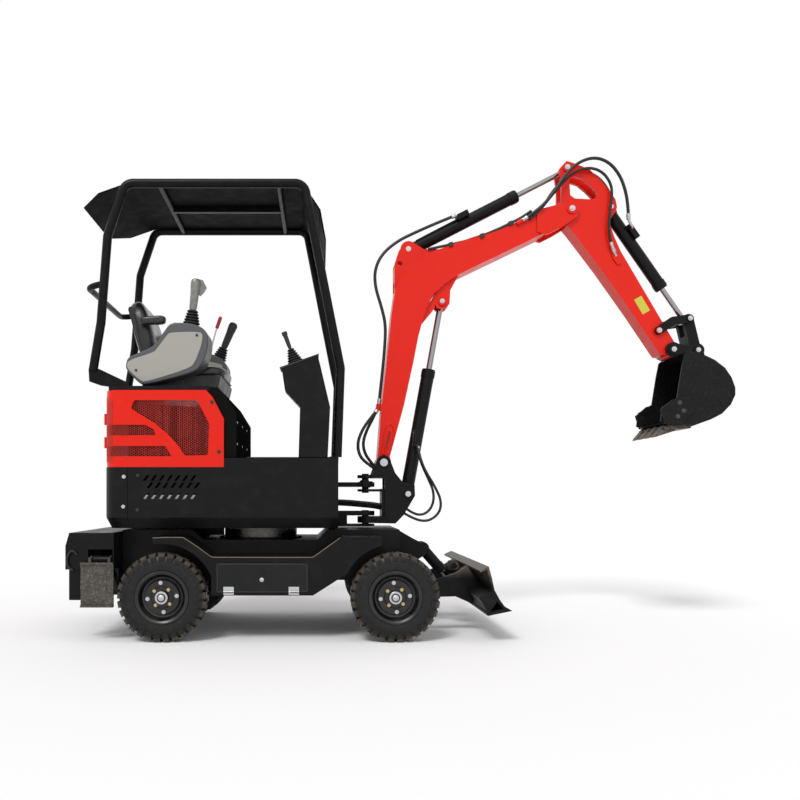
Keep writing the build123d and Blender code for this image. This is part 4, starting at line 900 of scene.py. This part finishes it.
for side, side_name in ((-1, "right"), (1, "left")):
    console = side_plate("console_body_" + side_name, soften(console_outline), side * 215, side * 402,
                         trim_plastic, "house", edge_mm=9)
    console.modifiers["edge"].segments = 4
    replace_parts(console, "console_" + side_name)
    panel = side_plate("console_panel_" + side_name, soften(panel_outline), side * 400, side * 405,
                       grey_plastic, "house",
               edge_mm=1.5)
    lining = side_plate("console_lining_" + side_name, soften(panel_outline), side * 212, side * 216,
                        grey_plastic,
                        "house", edge_mm=1.5)
    switch = side_plate("console_switch_" + side_name, [(-1322, 1686), (-1286, 1686), (-1290, 1700),
                                                        (-1310, 1702)],
                        side * 300, side * 340, dark_plastic, "house", edge_mm=3)
    if side > 0:
        for piece in (console, panel, lining, switch):
            piece.data.transform(tilt)
print("console outline points:", len(soften(console_outline)))

# %% [markdown]
# A joystick is a lathe piece: rubber bellows whose radius swings in and out, then the grip. The right
# grip still wears the crumpled clear film that machines are delivered in, so it has its own finish and
# a loose tail of film.

# %% Joysticks and front lever


def bellows_profile(radius_low, radius_high, length, rings):
    """Folds that shrink towards the top."""
    profile = []
    for i in range(rings):
        share = i / (rings - 1)
        outer = radius_low + (radius_high - radius_low) * share
        start = length * i / rings
        step = length / rings
        profile += [(start, outer - 7), (start + step * 0.3, outer), (start + step * 0.6, outer),
                    (start + step * 0.9, outer - 7)]
    return profile


grip_profile = [(62, 17), (74, 17), (90, 21), (130, 23), (175, 24), (205, 27), (228, 28), (240, 24),
                (247, 14)]
for side, side_name, grip_paint in ((-1, "right", film_grip), (1, "left", dark_plastic)):
    foot, lean = ((-1212, side * 355, 1688), (26, 0, 245)) if side < 0 else ((-1150, 355, 1618),
                                                                             (98, 0, 232))
    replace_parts(turned("stick_bellows_" + side_name, foot, lean, bellows_profile(45, 30, 78, 5),
                       hose_rubber,
                       "house", count=32), "joystick_" + side_name)
    turned("stick_grip_" + side_name, foot, lean, grip_profile, grip_paint, "house", count=20)

side_plate("film_tail", [(-1176, 1935), (-1150, 1928), (-1128, 1886), (-1140, 1862), (-1162, 1840),
                         (-1178, 1850)],
           -357, -355, film_grip, "house", edge_mm=0.5)
lever_foot, lever_lean = (-642, -390, 1462), (-34, 0, 92)
turned("front_lever_bellows", lever_foot, lever_lean, bellows_profile(47, 20, 94, 7), hose_rubber, "house")
front_handle = turned("front_lever_handle", (-676, -390, 1552), (-33, 0, 88),
                      [(0, 9), (20, 11), (70, 12), (80, 15), (92, 15), (94, 11)], dark_plastic, "house",
                      count=16)
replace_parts(front_handle, "front_lever")
tube("safety_lever", [(-1202, 300, 1640), (-1180, 300, 1725), (-1156, 300, 1806)], 5, zinc, "house")
turned("safety_lever_grip", (-1158, 300, 1800), (25, 0, 70), [(0, 7), (4, 11), (60, 12), (74, 10), (78, 5)],
       red_grip, "house", count=16)
print("controls: 2 joysticks, 1 front lever, 1 safety lever")

# %% [markdown]
# The seat is padded. Each cushion is lofted through rounded sections along a spine, thicker at its two
# bolsters than at the middle, and then subdivided, so that it looks stuffed and has no flat face.

# %% Seat cushions


def cushion(name, spine, half_widths, thicknesses, paint, body, centre_y=0.0, bolster=0.35, around=28):
    """spine is (x, z) in mm along the cushion; every section is a rounded slab across it."""
    def build(shape):
        rings = []
        for i, ((x, z), half, thick) in enumerate(zip(spine, half_widths, thicknesses)):
            before, after = spine[max(0, i - 1)], spine[min(len(spine) - 1, i + 1)]
            along = Vector((after[0] - before[0], after[1] - before[1])).normalized()
            front = Vector((along.y, -along.x))
            ring = []
            for j in range(around):
                turn = 2 * math.pi * j / around
                across = math.copysign(abs(math.cos(turn)) ** 0.5, math.cos(turn))
                lift = math.copysign(abs(math.sin(turn)) ** 0.6, math.sin(turn))
                if lift > 0:
                    lift *= 1 + bolster * across * across
                offset = front * lift * thick / 2
                ring.append(shape.verts.new(Vector((x + offset.x, centre_y + across * half,
                                                    z + offset.y)) * mm))
            rings.append(ring)
        for low, high in zip(rings, rings[1:]):
            for j in range(around):
                shape.faces.new((low[j], low[(j + 1) % around], high[(j + 1) % around], high[j]))
        shape.faces.new(rings[0])
        shape.faces.new(rings[-1])
    piece = new_object(name, mesh_of(name, build), paint, body)
    shade_smooth(piece.data)
    smooth = piece.modifiers.new("stuffing", "SUBSURF")
    smooth.levels = 1
    smooth.render_levels = 1
    return piece


back = cushion("seat_back", [(-1466, 1478), (-1482, 1540), (-1506, 1630), (-1524, 1715), (-1545, 1790),
                             (-1564, 1848), (-1574, 1872)],
               [150, 195, 208, 212, 205, 168, 100], [74, 100, 112, 112, 104, 80, 34], seat_vinyl, "house")
cushion("seat_cushion", [(-1490, 1450), (-1440, 1452), (-1330, 1450), (-1200, 1456), (-1110, 1462),
                         (-1060, 1456), (-1044, 1448)],
        [150, 200, 212, 213, 210, 190, 130], [50, 76, 82, 80, 78, 62, 30], seat_vinyl, "house")
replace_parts(back, "seat")
shell_outline = soften([(-1598, 1818), (-1580, 1762), (-1552, 1650), (-1530, 1585), (-1505, 1470),
                        (-1490, 1420),
                        (-1060, 1420), (-1050, 1436), (-1470, 1436), (-1490, 1560), (-1512, 1660),
                        (-1540, 1762),
                        (-1566, 1826)], rounds=1)
side_plate("seat_shell", shell_outline, -196, 196, dark_plastic, "house", edge_mm=3)
for side, side_name in ((-1, "right"), (1, "left")):
    cushion("armrest_" + side_name, [(-1518, 1722), (-1500, 1730), (-1450, 1734), (-1400, 1736),
                                     (-1382, 1735),
                                     (-1370, 1733)],
            [18, 27, 28, 28, 25, 16], [30, 42, 46, 50, 44, 24], seat_vinyl, "house", centre_y=side * 245,
            bolster=0.1, around=16)
print("seat back, seat cushion and two armrests are padded")

# %% [markdown]
# ## Small plates
# The rest are plates and fittings that the CAD model leaves out, because they carry no load: hinges and
# knob of the tool box, the blank plate on the arm, the raised weld round the boom's foot with a dark red
# plate of painted shade inside it, and the dark baffle that one sees behind the grille.

# %% Plates, hinges and knobs
# A dark red that paints the shade inside the relief at the boom's foot.
recess_red = finish("recess_red", (0.16, 0.006, 0.003), 0.5, bump=0.05)
hinge_half = 27
weld_arch = [(-160, 1000), (-150, 1080), (-138, 1150), (-118, 1178), (-92, 1160), (-88, 1130),
             (-98, 1060), (-112, 1000)]
for side, side_name in ((-1, "right"), (1, "left")):
    for place, x in (("rear", -987), ("front", -650)):
        start, stop = x - hinge_half, x + hinge_half
        lower = [(start, 247), (stop, 247), (stop, 262), (start, 262)]
        upper = [(start, 264), (stop, 264), (stop, 289), (start, 289)]
        side_plate(f"hinge_{place}_lower_{side_name}", lower, side * 561, side * 567, zinc, "chassis",
                   edge_mm=0.6)
        side_plate(f"hinge_{place}_upper_{side_name}", upper, side * 564, side * 568, zinc,
                   "toolbox_door_" + side_name, edge_mm=0.6)
        turned(f"hinge_{place}_pin_{side_name}", (start, side * 569, 263), (1, 0, 0),
               [(0, 4), (2 * hinge_half, 4)], zinc,
               "toolbox_door_" + side_name, count=12)
    turned("toolbox_knob_" + side_name, (-816, side * 564, 325), (0, side, 0),
           [(0, 11), (3, 11), (4, 7), (8, 7), (10, 5)], zinc, "toolbox_door_" + side_name)
    recess = [(-141, 1014), (-130, 1012), (-104, 1124), (-112, 1138), (-122, 1130), (-145, 1024)]
    # A thin dark red plate inside the relief at the boom's foot: painted shade of the recess.
    side_plate("boom_recess_painted_shade_" + side_name, soften(recess, 1), side * 71, side * 72.6, recess_red, "boom",
               0.3)
    for step, weld in enumerate((recess, weld_arch)):
        line = [(x, side * 73, z) for x, z in weld]
        tube(f"boom_weld_{step + 1}_{side_name}", line + line[:1], 4.5, red_paint, "boom")
    side_plate("arm_plate_" + side_name, [(1302, 1893), (1352, 1808), (1394, 1832), (1344, 1917)],
               side * 57,
               side * 58, blank_plate, "arm", edge_mm=0.3)
side_plate("engine_baffle", [(-1640, 961), (-1096, 961), (-1130, 1270), (-1640, 1305)], -4, 4, dark_plastic,
           "house", edge_mm=0.5)
print("engine baffle between Y -4 and 4 mm")

# %% [markdown]
# At the swing joint a cluster of hydraulic fittings sits beside the upper pin. It stays within the
# height between the two lugs that turn past it, so nothing touches at full swing. Three hoses pass
# through the gap below, as plain meshes on no body.

# %% Fittings at the swing joint
cluster_x, cluster_z = -250, 830
fittings_a_side = 8
flatness = 0.15
for side, side_name in ((-1, "right"), (1, "left")):
    turned("swing_manifold_" + side_name, (cluster_x, side * 53, cluster_z), (0, side, 0),
           [(0, 25), (20, 25), (23, 21)], black_paint, "house", count=8)
    for i in range(fittings_a_side):
        turn = 2 * math.pi * i / fittings_a_side + 0.2
        out = (math.cos(turn), 0, flatness * math.sin(turn))
        start = (cluster_x + 20 * out[0], side * 66, cluster_z - 1 + 20 * out[2])
        turned(f"swing_fitting_{side_name}_{i + 1}", start, out,
               [(0, 7), (8, 7), (10, 9), (20, 9), (22, 7), (28, 7)], black_paint, "house", count=6)
for i, (y, z) in enumerate(((-34, 722), (0, 712), (34, 702))):
    gap = [(-410, y, z + 8), (-350, y, z + 6), (-290, y, z), (-220, y, z - 6), (-165, y, z - 14),
           (-128, y, z - 26)]
    bending_hose(f"swing_hose_{i + 1}", gap, 9)
print("fittings:", 2 * fittings_a_side)

# %% [markdown]
# ## Tyres
# The tread blocks reach far down the shoulder, which the photograph shows plainly. Each tyre is a
# smooth carcass off the lathe plus two rings of blocks. One block is modelled, and a Geometry Nodes
# group repeats it round the axle, every second ring turned by half a step.

# %% Tread group
blocks_per_ring = 29


def tread_group():
    group, inputs = new_group("tread", "Block", {
        "Blocks": ("Int", blocks_per_ring), "First turn": ("Float", 0.0), "Finish": ("Material", None)})
    new, link = group.nodes.new, group.links.new
    start = new("NodeGroupInput")
    line = new("GeometryNodeMeshLine")
    line.inputs["Offset"].default_value = (0, 0, 0)
    link(start.outputs["Blocks"], line.inputs["Count"])
    step = maths(group, "DIVIDE", 2 * math.pi, start.outputs["Blocks"])
    index = new("GeometryNodeInputIndex").outputs["Index"]
    about_axle = new("ShaderNodeCombineXYZ")
    link(maths(group, "MULTIPLY_ADD", index, step, start.outputs["First turn"]), about_axle.inputs["Y"])
    place = new("GeometryNodeInstanceOnPoints")
    link(line.outputs["Mesh"], place.inputs["Points"])
    link(start.outputs["Block"], place.inputs["Instance"])
    link(about_axle.outputs["Vector"], place.inputs["Rotation"])
    end_group(group, start, realized(group, place.outputs["Instances"]))
    return group, inputs


tread, tread_inputs = tread_group()
block_section = [(6, 231.4), (42, 231.4), (52, 224), (55.5, 208), (55.5, 188), (50, 184), (46, 205),
                 (6, 214)]
carcass = [(-46, 137), (-51, 142), (-54, 160), (-54, 183), (-50, 200), (-42, 213), (-15, 219), (15, 219),
           (42, 213), (50, 200), (54, 183), (54, 160), (51, 142), (46, 137)]
half_width_per_radius = 0.073


def tread_ring(name, side, first_turn, paint):
    """One ring of blocks about the Y axis through the origin; a block narrows towards the axle."""
    def build(shape):
        for half in (-1, 1):
            ring = [shape.verts.new((half * r * half_width_per_radius * mm, side * y * mm, r * mm)) for y,
                    r in block_section]
            shape.faces.new(ring)
        shape.verts.ensure_lookup_table()
        count = len(block_section)
        for i in range(count):
            j = (i + 1) % count
            shape.faces.new([shape.verts[k] for k in (i, j, count + j, count + i)])
    settings = {"Blocks": blocks_per_ring, "First turn": first_turn, "Finish": paint}
    return run_group(new_object(name, mesh_of(name, build), None, None), tread, tread_inputs, settings)


half_step = math.pi / blocks_per_ring
for side, side_name in ((-1, "right"), (1, "left")):
    for end, (x, z) in zip(("rear", "front"), wheel_centres):
        node, wheel = f"tyre_{end}_{side_name}", f"wheel_{end}_{side_name}"
        rubber = nodes[node].data.materials[0]
        low, high = (Vector(corner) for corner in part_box(node))
        centre = (low + high) / 2
        body = turned(f"tyre_carcass_{end}_{side_name}", (x, centre.y / mm, z), (0, 1, 0), carcass,
                      rubber, wheel,
                      count=72, hollow=True)
        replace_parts(body, node)
        for ring_side, first in ((-1, 0.0), (1, half_step)):
            where = "outer" if ring_side == side else "inner"
            ring = tread_ring(f"tread_{end}_{side_name}_{where}", ring_side, first, rubber)
            ring.data.transform(Matrix.Translation(Vector((x, centre.y / mm, z)) * mm))
            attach(ring, wheel)
        turned(f"hub_seal_{end}_{side_name}", (x, side * 579.5, z), (0, side, 0), [(0, 23), (0.8, 23)],
               dark_plastic, wheel)
        turned(f"hub_nut_{end}_{side_name}", (x, side * 580, z), (0, side, 0),
               [(0, 14), (6, 14), (7, 12)], zinc,
               wheel, count=6)
print("tread blocks:", 8 * blocks_per_ring)

# %% [markdown]
# ## Seat front, deck and front console
# A sheet-metal cover closes the front of the seat over the whole width, with bolts round its edge. The
# front console is redrawn too, as a box on a narrower neck.

# %% Covers before and beside the operator
front_cover = side_plate("seat_front_cover", [(-1110, 961), (-958, 961), (-958, 1196), (-1022, 1300),
                                              (-1058, 1332), (-1110, 1340)], -455, 455, matte_black,
                                              "house", 3)
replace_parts(front_cover, "seat_base")
side_plate("seat_mount", [(-1500, 1342), (-1100, 1342), (-1075, 1360), (-1060, 1424), (-1480, 1424)],
           -290, 290,
           dark_plastic, "house", 6)
side_plate("deck_mat", [(-905, 959), (-430, 959), (-430, 966), (-905, 966)], -430, 430, dark_plastic,
           "house", 1)
console_front = side_plate("front_console_box", [(-719, 1437), (-527, 1507), (-512, 1448), (-461, 1230),
                                                 (-474, 961), (-629, 961), (-621, 1232), (-701, 1318)],
                                                 -450, -330,
                           black_paint, "house", 4)
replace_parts(console_front, "front_console")
rim_outline = [(-726, 1432), (-524, 1506), (-521, 1514), (-730, 1441)]
side_plate("front_console_rim", rim_outline, -453, -327, dark_plastic, "house", 1)
front_bolts = [(Vector((-958 * mm, y * mm, z * mm)), (1, 0, 0), 4 * mm, 7 * mm)
               for y in (-424, -140, 140, 424) for z in (1036, 1150)]
add_fasteners("seat_cover_bolts", {"house": front_bolts}, zinc)
door_line = finish("door_line", (0.030, 0.031, 0.033), 0.4, bump=0.05)
for side, side_name in ((-1, "right"), (1, "left")):
    y = side * 565
    frame_line = [(-1046, y, 262), (-1046, y, 406), (-582, y, 406), (-582, y, 262), (-1046, y, 262)]
    tube("door_edge_" + side_name, frame_line, 1.4, door_line, "toolbox_door_" + side_name, order=2)
vent_back = finish("vent_back", (0.55, 0.56, 0.56), 0.5, vary=0.1, bump=0.1)
for side, side_name in ((-1, "right"), (1, "left")):
    side_plate("vent_back_" + side_name, [(-1460, 722), (-1160, 722), (-1160, 764), (-1460, 764)],
               side * 458,
               side * 461, vent_back, "house", 0.5)
print("seat cover bolts:", len(front_bolts))

# %% [markdown]
# ## Ports and pipes
# Hoses end at something: a port block sits on each cylinder, a hard pipe runs from it along the barrel,
# and a third hose follows the boom's upper edge in clamps, then loops over the joint inside the other
# two.

# %% Ports and pipes
side_plate("arm_cylinder_port", [(284, 2356), (352, 2391), (338, 2420), (270, 2385)], -56, -8, black_paint,
           "arm_barrel", 3)
tube("arm_cylinder_pipe", [(45, -24, 2243), (160, -26, 2303), (300, -26, 2375)], 6.5, black_paint,
     "arm_barrel")
for side, side_name in ((-1, "right"), (1, "left")):
    side_plate("bucket_cylinder_port_" + side_name, [(1262, 2326), (1288, 2344), (1342, 2266),
                                                     (1316, 2248)],
               side * 12, side * 52, black_paint, "bucket_barrel", 3)
    tube("bucket_cylinder_elbow_" + side_name, [(1262, side * 80, 2352), (1272, side * 78, 2330),
                                                (1286, side * 66, 2316), (1296, side * 44, 2308)], 8, zinc,
         "bucket_barrel")
side_plate("boom_cylinder_port", [(20, 1040), (64, 1050), (70, 1150), (28, 1140)], -66, -30, black_paint,
           "boom_barrel", 3)
edge_route = [(110, -62, 2184), (230, -64, 2208), (358, -64, 2238), (500, -66, 2292), (600, -74, 2339),
              (655, -83, 2366), (700, -86, 2398)]
still_hose("boom_edge_hose", edge_route, 8, "boom")
for i, (x, z) in enumerate(((240, 2208), (420, 2258), (585, 2330))):
    side_plate(f"edge_clamp_{i + 1}", [(x - 10, z - 16), (x + 14, z - 8), (x + 8, z + 16),
                                       (x - 16, z + 8)], -82,
               -56, dark_plastic, "boom", 2)
inner_points = [(690, -84, 2352), (748, -83, 2400), (822, -82, 2492), (924, -82, 2610), (1022, -82, 2652),
                (1108, -82, 2629), (1162, -82, 2556), (1166, -82, 2478), (1150, -82, 2368),
                (1146, -81, 2260),
                (1172, -78, 2182)]
bending_hose("inner_tip_hose", inner_points, 8)
hose_fitting("inner_tip_fitting", inner_points[-1], inner_points[-2], "arm", length=40, radius=11)
turned("arm_union", (1170, -78, 2186), (0.5, 0.25, -0.83), [(0, 8), (6, 12), (26, 12), (32, 8), (52, 8)],
       zinc,
       "arm", count=6)
side_plate("arm_union_plate", [(1160, 2190), (1206, 2160), (1228, 2104), (1208, 2092), (1176, 2130)], -66,
           -57,
           red_paint, "arm", 1.5)
print("edge hose control points:", len(edge_route))

# %% [markdown]
# The last steel is what wears: the bolted cutters on the bucket's sides, and a brownish line along the
# mudguards' top edges that is partly worn metal and partly a painted highlight of the lit edge. The
# stabilisers get their brackets and a short hose each, and a plate closes the gap under the slewing ring.

# %% Worn edges with painted highlight, brackets and bucket cutters
# A brownish line along each mudguard's top edge: partly worn metal, partly a painted highlight where light
# catches the edge.
worn_edge = finish("worn_edge", (0.15, 0.115, 0.085), 0.6, vary=0.5, patch=25, bump=0.3)
for side, side_name in ((-1, "right"), (1, "left")):
    y = side * 560
    top_edge = [(-1380, y, 541), (-1300, y, 544), (-1222, y, 543), (-1150, y, 496), (-1076, y, 441),
                (-820, y, 440), (-552, y, 440), (-480, y, 492), (-410, y, 542)]
    tube("worn_edge_" + side_name, top_edge, 2.2, worn_edge, "chassis", order=2)
    side_plate("stabiliser_bracket_" + side_name, [(-1826, 214), (-1766, 214), (-1766, 470), (-1826, 420)],
               side * 440, side * 520, black_paint, "chassis", 3)
    loop = [(-1800, side * 536, 372), (-1826, side * 537, 384), (-1832, side * 538, 430),
            (-1818, side * 538, 466),
            (-1795, side * 537, 476), (-1780, side * 534, 452)]
    still_hose("stabiliser_hose_" + side_name, loop, 6, "chassis")
    side_plate("bucket_cutter_" + side_name, [(1467, 1299), (1568, 1327), (1590, 1231), (1523, 1163),
                                              (1424, 1163),
                                              (1400, 1242)], side * 180, side * 188, bucket_paint,
                                              "bucket", 1.5)
side_plate("gap_plate", [(-1225, 530), (-1075, 530), (-1075, 582), (-1225, 582)], -6, 6, black_paint,
           "chassis", 1)
cutter_bolts = seat_points([(1508, 1282, 9, 13), (1531, 1237, 9, 13), (1497, 1206, 9, 13)])
add_fasteners("cutter_bolts", cutter_bolts, worn_steel)
print("bodies with cutter bolts:", list(cutter_bolts))

# %% [markdown]
# The record names a few material slots, so that a user can repaint the machine. A table says which slot
# each added finish stands for, and the pieces whose finish has one are counted. The blank plate, the
# film and the red grip have none, since the record has none for them.

# %% Material slots
slot_of_finish = {
    "red_paint": "red_paint", "recess_red": "red_paint", "grille_red": "red_paint",
    "black_paint": "black_paint", "matte_black": "black_paint", "door_line": "black_paint",
    "bucket_paint": "black_paint",
    "zinc": "worn_steel", "yellow_zinc": "worn_steel", "worn_steel": "worn_steel",
    "worn_edge": "worn_steel",
    "trim_plastic": "grey_plastic", "grey_plastic": "grey_plastic", "vent_back": "grey_plastic",
    "dark_plastic": "dark_plastic", "seat_vinyl": "vinyl", "hose_rubber": "hose_rubber",
}
slotted = 0
for thing in bpy.context.scene.objects:
    if thing.type in {"MESH", "CURVE"} and thing.name not in nodes:
        paint = next(material.name for material in thing.data.materials if material).split(".")[0]
        slot = "tyre" if paint.startswith("tyre") else slot_of_finish.get(paint)
        if slot:
            slotted += 1
print("pieces with a slot:", slotted)

# %% [markdown]
# The last line brings the view layer up to date. Before it, both boxes go to a small file, so the
# dressed machine can be compared with the CAD one.

# %% Finish
bpy.context.view_layer.update()
